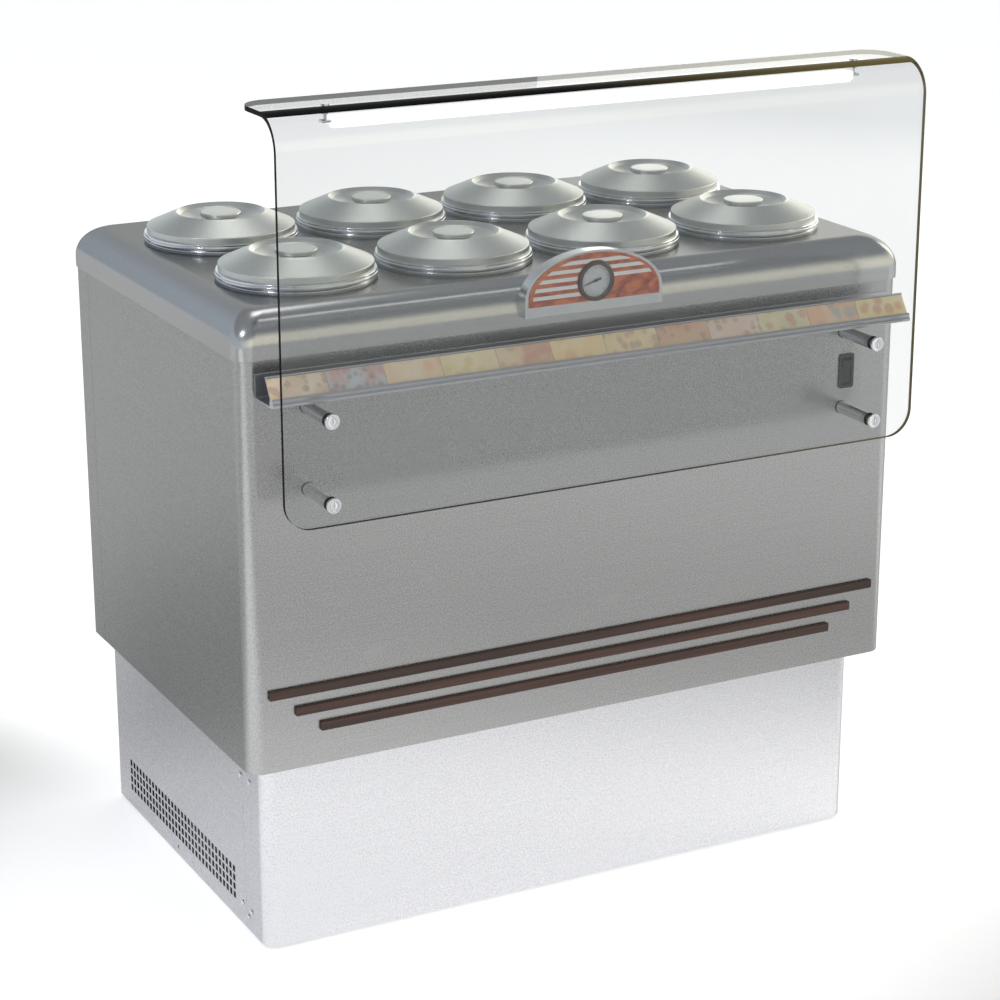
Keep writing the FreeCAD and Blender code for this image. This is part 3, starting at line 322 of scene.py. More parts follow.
BASE_CORNER, SHEET = 20.0, 1.5
# The base takes the same satin steel as the wrap above, in a lighter tone: painted light, for the brighter
# light on the lower sheets near the floor.
base_satin_painted_light = satin_steel("base_satin_painted_light", paint(226, 226, 230), 0.2, (4.0, 4.0, 900.0))
base_front = bent_sheet("base_front_sheet", "base_front_panel", BASE_CORNER, SHEET, [base_satin_painted_light])
hand_over(base_front, "cabinet", "panel_steel", "base_front_panel")
dress(base_satin_painted_light, "base_left_panel", "base_right_panel", "base_rear_grille")

# Base screws: domed cross-head screws, cold-headed in bright steel. Five on each side pass through the
# front sheet's flange and hold it to the side panel.
bright_steel, shader, place = finish("bright_steel", Metallic=1.0)
rub = place.noise(300, 3)
feed(
    shader,
    Base_Color=rub.blend(paint(196, 197, 200), paint(226, 227, 229)),
    Roughness=0.1 + 0.1 * rub,
    Normal=rub.bump(0.05, 0.0002),
)
dress(bright_steel, "base_screws")

# Compressor, its rubber mounts and the fan's motor: the pressed steel shell is welded at its belt and
# painted in black enamel with a slight orange peel.
black_enamel, shader, place = finish("black_enamel", Coat_Weight=0.3, Coat_Roughness=0.2)
peel = place.noise(260, 2)
dust = place.noise(18, 5).between(0.5, 0.8)
feed(
    shader,
    Base_Color=dust.blend(paint(16, 16, 17), paint(58, 55, 50)),
    Roughness=0.3 + 0.35 * dust,
    Normal=peel.bump(0.25, 0.0005),
)
dress(black_enamel, "compressor", "fan_motor")
mount_rubber, shader, place = finish("mount_rubber", Specular_IOR_Level=0.3)
bloom = place.noise(160, 4)
feed(
    shader,
    Base_Color=bloom.blend(paint(20, 20, 20), paint(46, 45, 44)),
    Roughness=0.6 + 0.25 * bloom,
    Normal=bloom.bump(0.2, 0.0003),
)
dress(mount_rubber, "compressor_mounts")

# Condenser: thin aluminium fins pressed on rows of copper tube, in front of which the fan turns in its
# shroud.
fin_aluminium, shader, place = finish("fin_aluminium", Metallic=1.0)
ripple = place.noise(90, 3)
feed(
    shader,
    Base_Color=ripple.blend(paint(178, 180, 182), paint(214, 216, 217)),
    Roughness=0.32 + 0.2 * ripple,
    Normal=ripple.bump(0.2, 0.0004),
)
copper_tube, shader, place = finish("copper_tube", Metallic=1.0)
tarnish = place.noise(45, 5)
feed(
    shader,
    Base_Color=tarnish.between(0.35, 0.7).blend(paint(206, 128, 92), paint(122, 72, 50)),
    Roughness=0.22 + 0.3 * tarnish,
    Normal=tarnish.bump(0.1, 0.0004),
)


def box(shape, x, y, z):
    """Adds a box between pairs of sizes in mm."""
    prism(shape, [(x[0], y[0]), (x[1], y[0]), (x[1], y[1]), (x[0], y[1])], z[0], z[1])


def circle(across, up, radius, sides):
    """The points of a circle."""
    turns = [k * math.tau / sides for k in range(sides)]
    return [(across + radius * math.cos(a), up + radius * math.sin(a)) for a in turns]


FIN_PITCH, FIN_THICK, FIN_MARGIN = 4.0, 0.35, 3.0
TUBE_ROWS, TUBE_RADIUS, TUBE_SIDES = 8, 4.8, 16
low, high = span("condenser_coil")
shape = bmesh.new()
across = low.x + FIN_MARGIN
while across < high.x - FIN_MARGIN:
    box(shape, (across, across + FIN_THICK), (low.y, high.y), (low.z, high.z))
    across += FIN_PITCH
for n in range(TUBE_ROWS):
    up = low.z + (n + 0.5) * (high.z - low.z) / TUBE_ROWS
    middle = (low.y + high.y) / 2
    before = len(shape.faces)
    prism(shape, circle(middle, up, TUBE_RADIUS, TUBE_SIDES), low.x, high.x, "x")
    shape.faces.ensure_lookup_table()
    for face in shape.faces[before:]:
        face.material_index = 1
fins = piece("condenser_fins", shape, [fin_aluminium, copper_tube])
hand_over(fins, "cabinet", "fin_aluminium", "condenser_coil")
dress(fin_aluminium, "fan_blades")
dress(zinc_coat, "fan_shroud")
dress(copper_tube, "pipework")

# Control box: a grey moulded housing on the tray for the thermostat and the wiring. The lead comes in
# through a black nylon gland in the rear grille.
box_plastic, shader, place = finish("box_plastic", Specular_IOR_Level=0.4)
spark = place.noise(380, 2)
feed(
    shader,
    Base_Color=spark.blend(paint(122, 124, 126), paint(138, 140, 142)),
    Roughness=0.5 + 0.15 * spark,
    Normal=spark.bump(0.2, 0.0002),
)
dress(box_plastic, "control_box")
dress(foot_nylon, "inlet_gland")

# Upper cabinet: one satin stainless sheet wraps the left side, the front and the right side, and a bent
# rear panel closes it in an upright seam. The front has a cut-out for the switch.
WRAP_CORNER = 24.0
SWITCH_LIP = Vector((2.0, 0.0, 3.0))  # how far the switch's frame overlaps the sheet's cut-out
CUT_FRONT, CUT_BACK = -5.0, 9.0
panel_satin = satin_steel("panel_satin", paint(181, 181, 181), 0.2, (4.0, 4.0, 900.0))
wrap = bent_sheet("wrap_sheet", "outer_wrap", WRAP_CORNER, SHEET, [panel_satin])
low, high = span("switch_bezel")
inner_low, inner_high = low + SWITCH_LIP, high - SWITCH_LIP
shape = bmesh.new()
box(shape, (inner_low.x, inner_high.x), (low.y + CUT_FRONT, low.y + CUT_BACK), (inner_low.z, inner_high.z))
pierced(wrap, piece("switch_cutter", shape, []))
hand_over(wrap, "cabinet", "panel_steel", "outer_wrap")
dress(panel_satin, "rear_panel")

# Foam, liners and cold jackets: the liners are deep-drawn cups, the jackets are roll-bonded aluminium round
# them, and polyurethane is foamed into what is left.
foam, shader, place = finish("foam", Specular_IOR_Level=0.2)
bubble = place.cells(160)
feed(
    shader,
    Base_Color=bubble.blend(paint(232, 214, 158), paint(208, 184, 124)),
    Roughness=0.8 + 0.15 * bubble,
    Normal=bubble.bump(0.5, 0.001),
)
dress(foam, "insulation_foam")
drawn_steel = satin_steel("drawn_steel", paint(214, 215, 214), 0.22, (4.0, 4.0, 500.0))
dress(drawn_steel, "well_liners")
dress(fin_aluminium, "evaporator_jackets")

# Worktop cover: a deep-drawn stainless lid over the cabinet, with polished rolled edges and eight round
# holes.
WELLS = []
for n in range(1, 9):
    low, high = span(f"tub_{n}")
    WELLS.append(((low.x + high.x) / 2, (low.y + high.y) / 2))
COVER_ROLL, COVER_CORNER, TOP_CORNER, WELL_HOLE = 48.0, 27.0, 20.0, 106.0
ROLL_STEPS, HOLE_SIDES = 28, 96


def cover_row(low, high, inset, corner, height):
    """The cover's outline at one height, in mm."""
    left, right, front, back = low.x + inset, high.x - inset, low.y + inset, high.y - inset
    outline = [(left, front, corner), (right, front, corner), (right, back, corner), (left, back, corner)]
    return [(p.x, p.y, height) for p in rounded(outline, steps=16)]


low, high = span("worktop_cover")
rows = [cover_row(low, high, 0, COVER_CORNER, low.z)]
for n in range(ROLL_STEPS + 1):
    lean = math.pi / 2 * n / ROLL_STEPS
    inset = COVER_ROLL * (1 - math.cos(lean))
    corner = COVER_CORNER + (TOP_CORNER - COVER_CORNER) * inset / COVER_ROLL
    rows.append(cover_row(low, high, inset, corner, high.z - COVER_ROLL * (1 - math.sin(lean))))
shape = bmesh.new()
loops = [[shape.verts.new(Vector(spot) * MM) for spot in row] for row in rows]
for under, over in zip(loops, loops[1:]):
    for n in range(len(under)):
        shape.faces.new((under[n - 1], under[n], over[n], over[n - 1]))
rim = [shape.edges.get((loops[-1][n - 1], loops[-1][n])) for n in range(len(loops[-1]))]
for x, y in WELLS:
    spots = circle(x, y, WELL_HOLE, HOLE_SIDES)
    hole = [shape.verts.new(Vector((*spot, high.z)) * MM) for spot in spots]
    rim += [shape.edges.new((hole[k - 1], hole[k])) for k in range(HOLE_SIDES)]
bmesh.ops.triangle_fill(shape, use_beauty=True, use_dissolve=False, edges=rim)
cover_satin = satin_steel("cover_satin", paint(190, 191, 191), 0.14, (4.0, 700.0, 700.0), 900, 0.05)
cover = piece("pressed_cover", shape, [cover_satin])
sheet = cover.modifiers.new("sheet", "SOLIDIFY")
sheet.thickness = SHEET * MM
sheet.offset = -1
cover.modifiers.move(1, 0)
hand_over(cover, "cabinet", "cover_steel", "worktop_cover")

# Well rings: turned stainless collars pressed into the holes, polished, with a bead, a groove and a stepped
# seat for the lid. The lip inside carries the tub.


def turn(shape, outline, ring=True, sides=112):
    """Adds what an outline of (radius, height) in mm makes when turned about the upright axis."""
    rows = []
    for radius, height in outline:
        if radius < 0.001:
            rows.append([shape.verts.new((0, 0, height * MM))] * sides)
            continue
        rows.append([shape.verts.new((*spot, height * MM)) for spot in circle(0, 0, radius * MM, sides)])
    for low_row, high_row in zip(rows, rows[1:] + (rows[:1] if ring else [])):
        for k in range(sides):
            corners = dict.fromkeys((low_row[k - 1], low_row[k], high_row[k], high_row[k - 1]))
            if len(corners) > 2:
                shape.faces.new(corners)


def polished_steel(name, tone, gloss, turning):
    """Turned stainless steel: fine rings about its own axis, and a light haze."""
    material, shader, place = finish(name, Metallic=1.0)
    flat = place.stretched(1.0, 1.0, 0.0)
    radius = flat.node("VectorMath", {0: flat}, output="Value", operation="LENGTH")
    turned = turning * (radius + place.axis(2))
    marks = turned.node("CombineXYZ", {0: turned}).noise(1.0, 2)
    haze = place.noise(30, 4)
    dark = tuple(0.9 * t for t in tone[:3]) + (1.0,)
    feed(
        shader,
        Base_Color=haze.blend(dark, tone),
        Roughness=gloss + 0.07 * haze + 0.04 * marks,
        Normal=marks.bump(0.06, 0.0002),
    )
    return material


ring_polish = polished_steel("ring_polish", paint(228, 230, 232), 0.09, 900)
RING_OUTLINE = rounded([
    (101.5, 0, 0), (105, 0, 0), (105, 13, 0), (114.5, 13, 0.5), (114.5, 15.2, 0.8),
    (110.5, 17.4, 1.4), (110.5, 18, 0), (115.4, 18, 0.5), (116.5, 19, 0.6), (116.5, 21.2, 0.6),
    (114.9, 22, 0.3), (115.5, 23, 0.3), (115.5, 25, 0.6), (114.5, 26, 0.4), (107, 26, 0.3),
    (107, 30, 0.5), (101.5, 30, 0.5),
], steps=4)
ring_foot = span("well_rings")[0].z
for n, (x, y) in enumerate(WELLS, start=1):
    shape = bmesh.new()
    turn(shape, RING_OUTLINE)
    ring = piece(f"turned_ring_{n}", shape, [ring_polish])
    ring.location = Vector((x, y, ring_foot)) * MM
    hand_over(ring, "cabinet", "ring_steel", "well_rings")

# Tubs: straight-sided stainless pails, spun from sheet. Each hangs in its ring by a flat rim and is lifted
# out by hand.
tub_spun = polished_steel("tub_spun", paint(222, 223, 222), 0.16, 700)
TUB_OUTLINE = rounded([
    (0, 0, 0), (95, 0, 3), (99, 4, 2), (99, 250, 0.6), (105.4, 250, 0), (106, 250.6, 0.3), (105.4, 251.2, 0),
    (97.8, 251.2, 1.2), (97.8, 4.5, 2), (94.5, 1.2, 2), (0, 1.2, 0),
], closed=False, steps=4)
for n, (x, y) in enumerate(WELLS, start=1):
    low, high = span(f"tub_{n}")
    shape = bmesh.new()
    turn(shape, TUB_OUTLINE, ring=False)
    tub = piece(f"spun_tub_{n}", shape, [tub_spun])
    tub.location = Vector((x, y, low.z)) * MM
    hand_over(tub, f"tub_{n}", "tub_steel", f"tub_{n}")

# Lids: spun stainless covers with a bead-blasted face. The rim is rolled over a bowl, and a turned knob
# stands on a short neck in the bowl.
lid_blast, shader, place = finish("lid_blast", Metallic=1.0)
blast = place.noise(900, 3)
drift = place.noise(9, 3)
wear = place.axis(2).between(0.0262, 0.0279)
grain = (0.7 * blast + 0.3 * drift).between(0.25, 0.75)
feed(
    shader,
    Base_Color=grain.blend(paint(190, 194, 192), paint(226, 228, 222)),
    Roughness=0.32 + 0.08 * blast + 0.05 * drift - 0.1 * wear,
    Normal=blast.bump(0.16, 0.0004),
)
LID_OUTLINE = rounded([
    (0, 13, 0), (38.5, 13, 8), (60.5, 22, 4), (66, 26.2, 1.5), (68.4, 25.8, 2), (110, 7.4, 1), (110, 0, 0.5),
    (111.5, 0, 0.5), (111.5, 9.2, 1.6), (69.5, 27.2, 4), (66.4, 28.3, 1.2), (60, 22.4, 5), (42, 15.6, 10),
    (34, 14.5, 6), (0, 14.5, 0),
], closed=False, steps=8)
KNOB_OUTLINE = rounded([
    (0, 14.5, 0), (23.5, 14.5, 0), (23.5, 19.8, 1), (29, 20, 0.8), (30.5, 21.5, 1), (30.5, 27, 1.5),
    (0, 27.6, 0),
], closed=False, steps=6)
for n, (x, y) in enumerate(WELLS, start=1):
    low, high = span(f"lid_{n}")
    shape = bmesh.new()
    turn(shape, LID_OUTLINE, ring=False)
    turn(shape, KNOB_OUTLINE, ring=False, sides=72)
    lid = piece(f"spun_lid_{n}", shape, [lid_blast])
    lid.location = Vector((x, y, low.z)) * MM
    hand_over(lid, f"lid_{n}", "lid_steel", f"lid_{n}")

# Glass guard: one 7 mm toughened sheet, bent back over the wells, with ground edges and drilled holes. Its
# standoffs and the lamp's screws pass through the holes.
GLASS_THICK, GLASS_BEND, GLASS_CORNER = 7.0, 50.0, 40.0
BEND_STEPS, DRILL_SIDES = 30, 24
DARK_BAND_SPAN = (0.70, 0.985)  # the part of the bend whose outer face is painted dark: painted shade for the dark line along the bend
low, high = span("guard_glass")
barrel_low, barrel_high = span("standoff_barrels")
screw_low, screw_high = span("lamp_screws")
BARREL_RADIUS, STAND_HOLE = 9.5, 7.0
LAMP_SPREAD, LAMP_HOLE = 420.0, 3.2
upright_run = high.z - low.z - GLASS_BEND
bend_run = (GLASS_BEND - GLASS_THICK / 2) * math.pi / 2
flange_run = high.y - low.y - GLASS_BEND
whole_run = upright_run + bend_run + flange_run


def bent(x, run, deep):
    """Where a point of the flat sheet goes when the sheet is bent."""
    if run <= upright_run:
        return x, low.y + deep, low.z + run
    if run >= upright_run + bend_run:
        return x, low.y + GLASS_BEND + run - upright_run - bend_run, high.z - deep
    lean = (run - upright_run) / bend_run * math.pi / 2
    reach = GLASS_BEND - deep
    return x, low.y + GLASS_BEND - reach * math.cos(lean), high.z - GLASS_BEND + reach * math.sin(lean)


def ring_of(shape, points):
    """Adds a closed loop of edges."""
    verts = [shape.verts.new((x, y, 0)) for x, y in points]
    return [shape.edges.new((verts[n - 1], verts[n])) for n in range(len(verts))]


def let_through(material, shader, share, colour):
    """Lets light of a colour through a finish, apart from a share that its surface mirrors."""
    through = share.node("BsdfTransparent", {"Color": colour})
    mixed = share.node("MixShader", {0: share, 1: through})
    links, nodes = material.node_tree.links, material.node_tree.nodes
    links.new(shader.outputs[0], mixed.socket.node.inputs[2])
    links.new(mixed.socket, nodes["Material Output"].inputs[0])


shape = bmesh.new()
rim = ring_of(shape, rounded([
    (low.x, 0, GLASS_CORNER), (high.x, 0, GLASS_CORNER),
    (high.x, whole_run, GLASS_CORNER), (low.x, whole_run, GLASS_CORNER),
], steps=14))
stand_across = barrel_high.x - BARREL_RADIUS
holes = []
for side in (-1, 1):
    for z in (barrel_low.z + BARREL_RADIUS, barrel_high.z - BARREL_RADIUS):
        holes.append((side * stand_across, z - low.z, STAND_HOLE))
    lamp_depth = (screw_low.y + screw_high.y) / 2
    lamp_run = upright_run + bend_run + lamp_depth - low.y - GLASS_BEND
    holes.append((side * LAMP_SPREAD, lamp_run, LAMP_HOLE))
for x, run, radius in holes:
    rim += ring_of(shape, circle(x, run, radius, DRILL_SIDES))
bmesh.ops.triangle_fill(shape, use_beauty=True, use_dissolve=False, edges=rim)
for n in range(BEND_STEPS + 1):
    cut = upright_run + bend_run * n / BEND_STEPS
    everything = shape.verts[:] + shape.edges[:] + shape.faces[:]
    bmesh.ops.bisect_plane(shape, geom=everything, plane_co=(0, cut, 0), plane_no=(0, 1, 0))
front = shape.faces[:]
grown = bmesh.ops.extrude_face_region(shape, geom=front)
for item in grown["geom"]:
    if isinstance(item, bmesh.types.BMVert):
        item.co.z = GLASS_THICK
shape.normal_update()
dark_band_low = upright_run + bend_run * DARK_BAND_SPAN[0]
dark_band_high = upright_run + bend_run * DARK_BAND_SPAN[1]
# The edge faces take the dark edge finish, and so does a band of the bend's outer face, where it is painted
# shade.
for face in shape.faces:
    middle = face.calc_center_median()
    wall = abs(face.normal.z) < 0.5
    painted_dark_band = dark_band_low < middle.y < dark_band_high and middle.z < GLASS_THICK / 2
    face.material_index = 1 if wall or painted_dark_band else 0
for vert in shape.verts:
    vert.co = Vector(bent(*vert.co)) * MM
clear_glass, shader, place = finish("clear_glass", Metallic=1.0, Roughness=0.03)
shader.inputs["Base Color"].default_value = (0.93, 0.96, 0.95, 1.0)
facing = place.node("LayerWeight", {"Blend": 0.5}, output="Facing")
veil = place.noise(6, 3)
let_through(clear_glass, shader, 0.035 + 0.45 * facing ** 5 + 0.02 * veil, (0.885, 0.89, 0.89, 1.0))
# The sheet's edges are painted near black as painted shade, and toward the right they turn into a painted
# warm reflection.
edge_painted_shade, shader, place = finish("edge_painted_shade", Specular_IOR_Level=0.02)
warm_reflection_share = place.axis(0).between(-0.1, 0.5)
grind = place.noise(240, 2)
feed(
    shader,
    Base_Color=warm_reflection_share.blend(paint(3, 4, 4), paint(112, 100, 58)),
    Roughness=0.3 + 0.12 * grind,
    Normal=grind.bump(0.05, 0.0002),
)
glass = piece("bent_glass", shape, [clear_glass, edge_painted_shade], eased=0.6)
hand_over(glass, "cabinet", "guard_glass", "guard_glass")

# Standoffs: turned and polished barrels screwed to the front panel, and slotted caps whose shanks pass
# through the glass. Black rubber washers part the glass from the metal.
chrome = polished_steel("chrome", paint(226, 227, 231), 0.07, 500)
CAP_HEAD, WASHER = 4.0, 1.5
cap_front = span("standoff_caps")[0].y
washer_seats = {
    "front": low.y,
    "back": low.y + GLASS_THICK + WASHER,
    "base": span("glass_washers")[1].y,
}
FORWARD = Matrix.Rotation(math.pi / 2, 4, "X")  # an upright axis laid down to point at the front
barrel_length = barrel_high.y - barrel_low.y
BARREL_OUTLINE = rounded([
    (0, 0, 0), (BARREL_RADIUS, 0, 0.6), (BARREL_RADIUS, barrel_length, 0.6), (0, barrel_length, 0),
], closed=False, steps=4)
CAP_OUTLINE = rounded([
    (0, -20, 0), (5.8, -20, 0.5), (5.8, 0, 0), (11, 0, 0.3), (11, CAP_HEAD, 1.2), (0, CAP_HEAD, 0),
], closed=False, steps=5)
WASHER_OUTLINE = rounded([(6.1, 0, 0), (10.1, 0, 0.4), (10.1, WASHER, 0.4), (6.1, WASHER, 0)], steps=3)
SLOT_HALF, SLOT_REACH, SLOT_DEEP = 0.8, 6.0, 1.2
levels = {"lower": barrel_low.z + BARREL_RADIUS, "upper": barrel_high.z - BARREL_RADIUS}
for side in (-1, 1):
    for level, z in levels.items():
        name = f"{'left' if side < 0 else 'right'}_{level}"
        x = side * stand_across
        shape = bmesh.new()
        turn(shape, BARREL_OUTLINE, ring=False, sides=64)
        barrel = piece(f"barrel_{name}", shape, [chrome])
        barrel.matrix_world = Matrix.Translation(Vector((x, barrel_high.y, z)) * MM) @ FORWARD
        hand_over(barrel, "cabinet", "bright_steel", "standoff_barrels")
        shape = bmesh.new()
        turn(shape, CAP_OUTLINE, ring=False, sides=64)
        cap = piece(f"cap_{name}", shape, [chrome])
        shape = bmesh.new()
        box(shape, (-SLOT_HALF, SLOT_HALF), (-SLOT_REACH, SLOT_REACH), (CAP_HEAD - SLOT_DEEP, CAP_HEAD + 1))
        pierced(cap, piece("slot_cutter", shape, []))
        cap.matrix_world = Matrix.Translation(Vector((x, cap_front + CAP_HEAD, z)) * MM) @ FORWARD
        hand_over(cap, "cabinet", "bright_steel", "standoff_caps")
        for spot, y in washer_seats.items():
            shape = bmesh.new()
            turn(shape, WASHER_OUTLINE, sides=48)
            washer = piece(f"washer_{name}_{spot}", shape, [mount_rubber])
            washer.matrix_world = Matrix.Translation(Vector((x, y, z)) * MM) @ FORWARD
            hand_over(washer, "cabinet", "black_rubber", "glass_washers")

# Lamp: a strip of light-emitting diodes in an anodised channel under the flange, behind an opal diffuser
# that is snapped in. A screw through the glass holds each end.
# The channel glows in its own pale colour: painted light, so that it shows as white as the lit strip.
lamp_shell_painted_glow, shader, place = finish("lamp_shell_painted_glow", Emission_Strength=1.2)
draw = place.stretched(6.0, 500.0, 500.0).noise(1.0, 2)
pale = draw.blend(paint(232, 233, 235), paint(246, 247, 248))
feed(
    shader,
    Base_Color=pale,
    Emission_Color=pale,
    Roughness=0.28 + 0.1 * draw,
    Normal=draw.bump(0.06, 0.0002),
)
dress(lamp_shell_painted_glow, "lamp_housing")
opal, shader, place = finish("opal", Emission_Strength=1.4, Roughness=0.35)
milk = place.noise(5, 2)
feed(
    shader,
    Base_Color=milk.blend(paint(240, 241, 243), paint(250, 250, 250)),
    Emission_Color=milk.blend(paint(246, 247, 250), paint(255, 255, 255)),
)
dress(opal, "lamp_diffuser")
dress(chrome, "lamp_screws")

# Label rail: an anodised aluminium extrusion screwed to the front panel. Two lips hold the cards on its
# sloping face, and a rounded nose closes the lower edge.
rail_anodised, shader, place = finish("rail_anodised", Metallic=1.0)
draw = place.stretched(5.0, 800.0, 800.0).noise(1.0, 3)
dull = place.noise(5, 3)
feed(
    shader,
    Base_Color=draw.blend(paint(186, 187, 192), paint(206, 207, 212)),
    Roughness=0.24 + 0.1 * draw + 0.08 * dull,
    Normal=draw.bump(0.1, 0.0003),
)
RAIL_OUTLINE = [
    (0, 0, 0), (57, 0, 1), (62.5, 1, 2.5), (64, 4.5, 1.6), (60.8, 7.5, 0.8), (61.8, 10.5, 1.2),
    (58.6, 13.6, 0.8), (57.4, 11.8, 0.4), (55.5, 10.5, 0.3), (38, 37, 0.3), (39.8, 38.2, 0.4),
    (38.8, 40, 0.7), (35.3, 39, 0.8), (52, 12.5, 1), (50, 2, 1), (2, 2, 0.5), (2, 34, 0), (0, 34, 0),
]
rail_low, rail_high = span("label_rail")
outline = [(rail_high.y - p.x, rail_low.z + p.y) for p in rounded(RAIL_OUTLINE, steps=5)]
shape = bmesh.new()
prism(shape, outline, rail_low.x, rail_high.x, "x")
rail = piece("drawn_rail", shape, [rail_anodised])
hand_over(rail, "cabinet", "rail_aluminium", "label_rail")

# Flavour cards: printed card strips side by side on the rail's face. Each has its own picture of fruit,
# nuts or caramel in soft colours, with no lettering.
FACE_LOW, FACE_HIGH = Vector((55.5, 10.5)), Vector((38, 37))  # the rail's sloping face
CARD_THICK, CARD_TALL, CARD_GAP = 0.8, 30.6, 0.6
CARD_SEAT = Vector((0, -0.9, 0.5))
FLAVOURS = (
    ("nut", (222, 188, 156), (134, 92, 64), (242, 226, 206), 75),
    ("berry", (170, 208, 232), (52, 58, 104), (206, 66, 98), 95),
    ("caramel", (246, 214, 170), (232, 142, 70), (250, 238, 222), 38),
    ("pineapple", (240, 222, 160), (222, 190, 104), (248, 238, 196), 55),
    ("hazelnut", (232, 208, 170), (170, 124, 84), (202, 74, 60), 62),
    ("peach", (248, 214, 140), (236, 164, 76), (250, 234, 190), 40),
    ("walnut", (236, 208, 150), (150, 104, 62), (244, 226, 180), 70),
    ("mixed", (206, 168, 132), (120, 84, 62), (214, 120, 90), 82),
    ("cherry", (226, 196, 186), (148, 72, 66), (232, 218, 208), 72),
    ("melon", (238, 226, 186), (206, 82, 84), (190, 208, 150), 55),
    ("salmon", (240, 168, 120), (80, 150, 178), (248, 214, 190), 42),
    ("lemon", (250, 226, 130), (212, 84, 76), (250, 240, 190), 50),
)
slope = math.atan2(FACE_LOW.x - FACE_HIGH.x, FACE_HIGH.y - FACE_LOW.y)
card_pitch = (rail_high.x - rail_low.x) / len(FLAVOURS)
card_wide = card_pitch - CARD_GAP
lean_back = Matrix.Rotation(-slope, 4, "X")
CARD_STOCK, FADE = paint(240, 224, 202), 0.45
for n, (flavour, *inks, scale) in enumerate(FLAVOURS):
    ground, fruit, accent = (
        tuple(FADE * p + (1 - FADE) * i for p, i in zip(CARD_STOCK, paint(*ink))) for ink in inks
    )
    printed, shader, place = finish(f"card_{flavour}", Coat_Weight=0.25, Coat_Roughness=0.25)
    moved = place.node("VectorMath", {0: place, 1: (n * 0.37, n * 0.11, 0)}, operation="ADD")
    blob = moved.cells(scale)
    tone = moved.cells(scale, "Color")
    wash = moved.noise(28, 3)
    body_of_fruit = 1 - blob.between(0.28, 0.55)
    backing = wash.between(0.35, 0.75).blend(ground, accent)
    picture = tone.axis(0).between(0.66, 0.7).blend(fruit, accent)
    print_tone = (body_of_fruit * (0.35 + 0.6 * wash)).blend(backing, picture)
    screen = moved.noise(900, 1)
    feed(shader, Base_Color=print_tone, Roughness=0.38 + 0.12 * screen, Normal=screen.bump(0.05, 0.0001))
    shape = bmesh.new()
    corners = [(0, 0, 1), (card_wide, 0, 1), (card_wide, CARD_TALL, 1), (0, CARD_TALL, 1)]
    prism(shape, rounded(corners, steps=3), 0, CARD_THICK, "y")
    card = piece(f"card_{n + 1}_{flavour}", shape, [printed])
    x = rail_low.x + n * card_pitch + CARD_GAP / 2
    start = Vector((x, rail_high.y - FACE_LOW.x, rail_low.z + FACE_LOW.y)) * MM
    seat = Matrix.Translation(CARD_SEAT * MM)
    card.matrix_world = Matrix.Translation(start) @ lean_back @ seat
    hand_over(card, "cabinet", "card", "flavour_cards")

# Badge: a polished steel housing on the cover's rolled edge, faced with briar veneer under lacquer. Thin
# bright slats cross the veneer on both sides of the thermometer.
badge_polish, shader, place = finish("badge_polish", Metallic=1.0)
haze = place.noise(40, 3)
feed(
    shader,
    Base_Color=haze.blend(paint(206, 207, 208), paint(232, 232, 232)),
    Roughness=0.12 + 0.1 * haze,
    Normal=haze.bump(0.03, 0.0002),
)
dress(badge_polish, "badge_housing")
briar, shader, place = finish("briar", Coat_Weight=0.8, Coat_Roughness=0.06)
swirl = place.stretched(1.0, 1.0, 1.6).noise(34, 5)
warped = place.node("VectorMath", {0: place.stretched(26, 26, 44), 1: swirl}, operation="ADD")
burl = warped.noise(1.6, 6)
pore = place.stretched(1.4, 1.0, 0.7).noise(420, 2).between(0.6, 0.72)
knot = place.cells(42).between(0.0, 0.22)
figure = burl.node("ValToRGB", {0: burl}, stops=(
    (0.28, paint(120, 42, 20)), (0.45, paint(190, 80, 38)),
    (0.58, paint(222, 122, 64)), (0.75, paint(198, 88, 42)),
))
veneer_tone = (0.55 * (1 - knot) + 0.25 * pore).blend(figure, paint(84, 30, 17))
feed(shader, Base_Color=veneer_tone, Roughness=0.32 + 0.2 * burl, Normal=pore.bump(0.08, 0.0002))
dress(briar, "badge_panel")
slat_satin, shader, place = finish("slat_satin", Metallic=1.0)
brush = place.stretched(8.0, 300.0, 700.0).noise(1.0, 3)
feed(
    shader,
    Base_Color=brush.blend(paint(226, 226, 226), paint(246, 246, 246)),
    Roughness=0.3 + 0.12 * brush,
    Normal=brush.bump(0.06, 0.0002),
)
dress(slat_satin, "badge_slats")

# Thermometer: a brown moulded bezel over a metal can, a white printed dial, a thin pointer on its arbor and
# a domed window.
bezel_brown, shader, place = finish("bezel_brown", Coat_Weight=0.6, Coat_Roughness=0.08)
flow = place.noise(80, 4)
feed(
    shader,
    Base_Color=flow.blend(paint(44, 24, 18), paint(66, 38, 28)),
    Roughness=0.25 + 0.12 * flow,
    Normal=flow.bump(0.04, 0.0002),
)
case_low, case_high = span("thermometer_case")
dial_middle = Vector((0, case_high.y, (case_low.z + case_high.z) / 2))
CASE_OUTLINE = rounded([
    (0.85, 3, 0), (2, 3, 0), (2, 0, 0), (26.7, 0, 0.5), (26.7, 14, 0), (29, 14, 0.6), (29, 18.4, 2.2),
    (26.5, 20, 1.2), (23.9, 19.6, 0.6), (23.9, 13, 0), (0.85, 13, 0),
], steps=6)
shape = bmesh.new()
turn(shape, CASE_OUTLINE, sides=96)
case = piece("thermometer_bezel", shape, [bezel_brown])
case.matrix_world = Matrix.Translation(dial_middle * MM) @ FORWARD
hand_over(case, "cabinet", "bezel_brown", "thermometer_case")
dial_white, shader, place = finish("dial_white", Specular_IOR_Level=0.4)
ink = place.noise(220, 2)
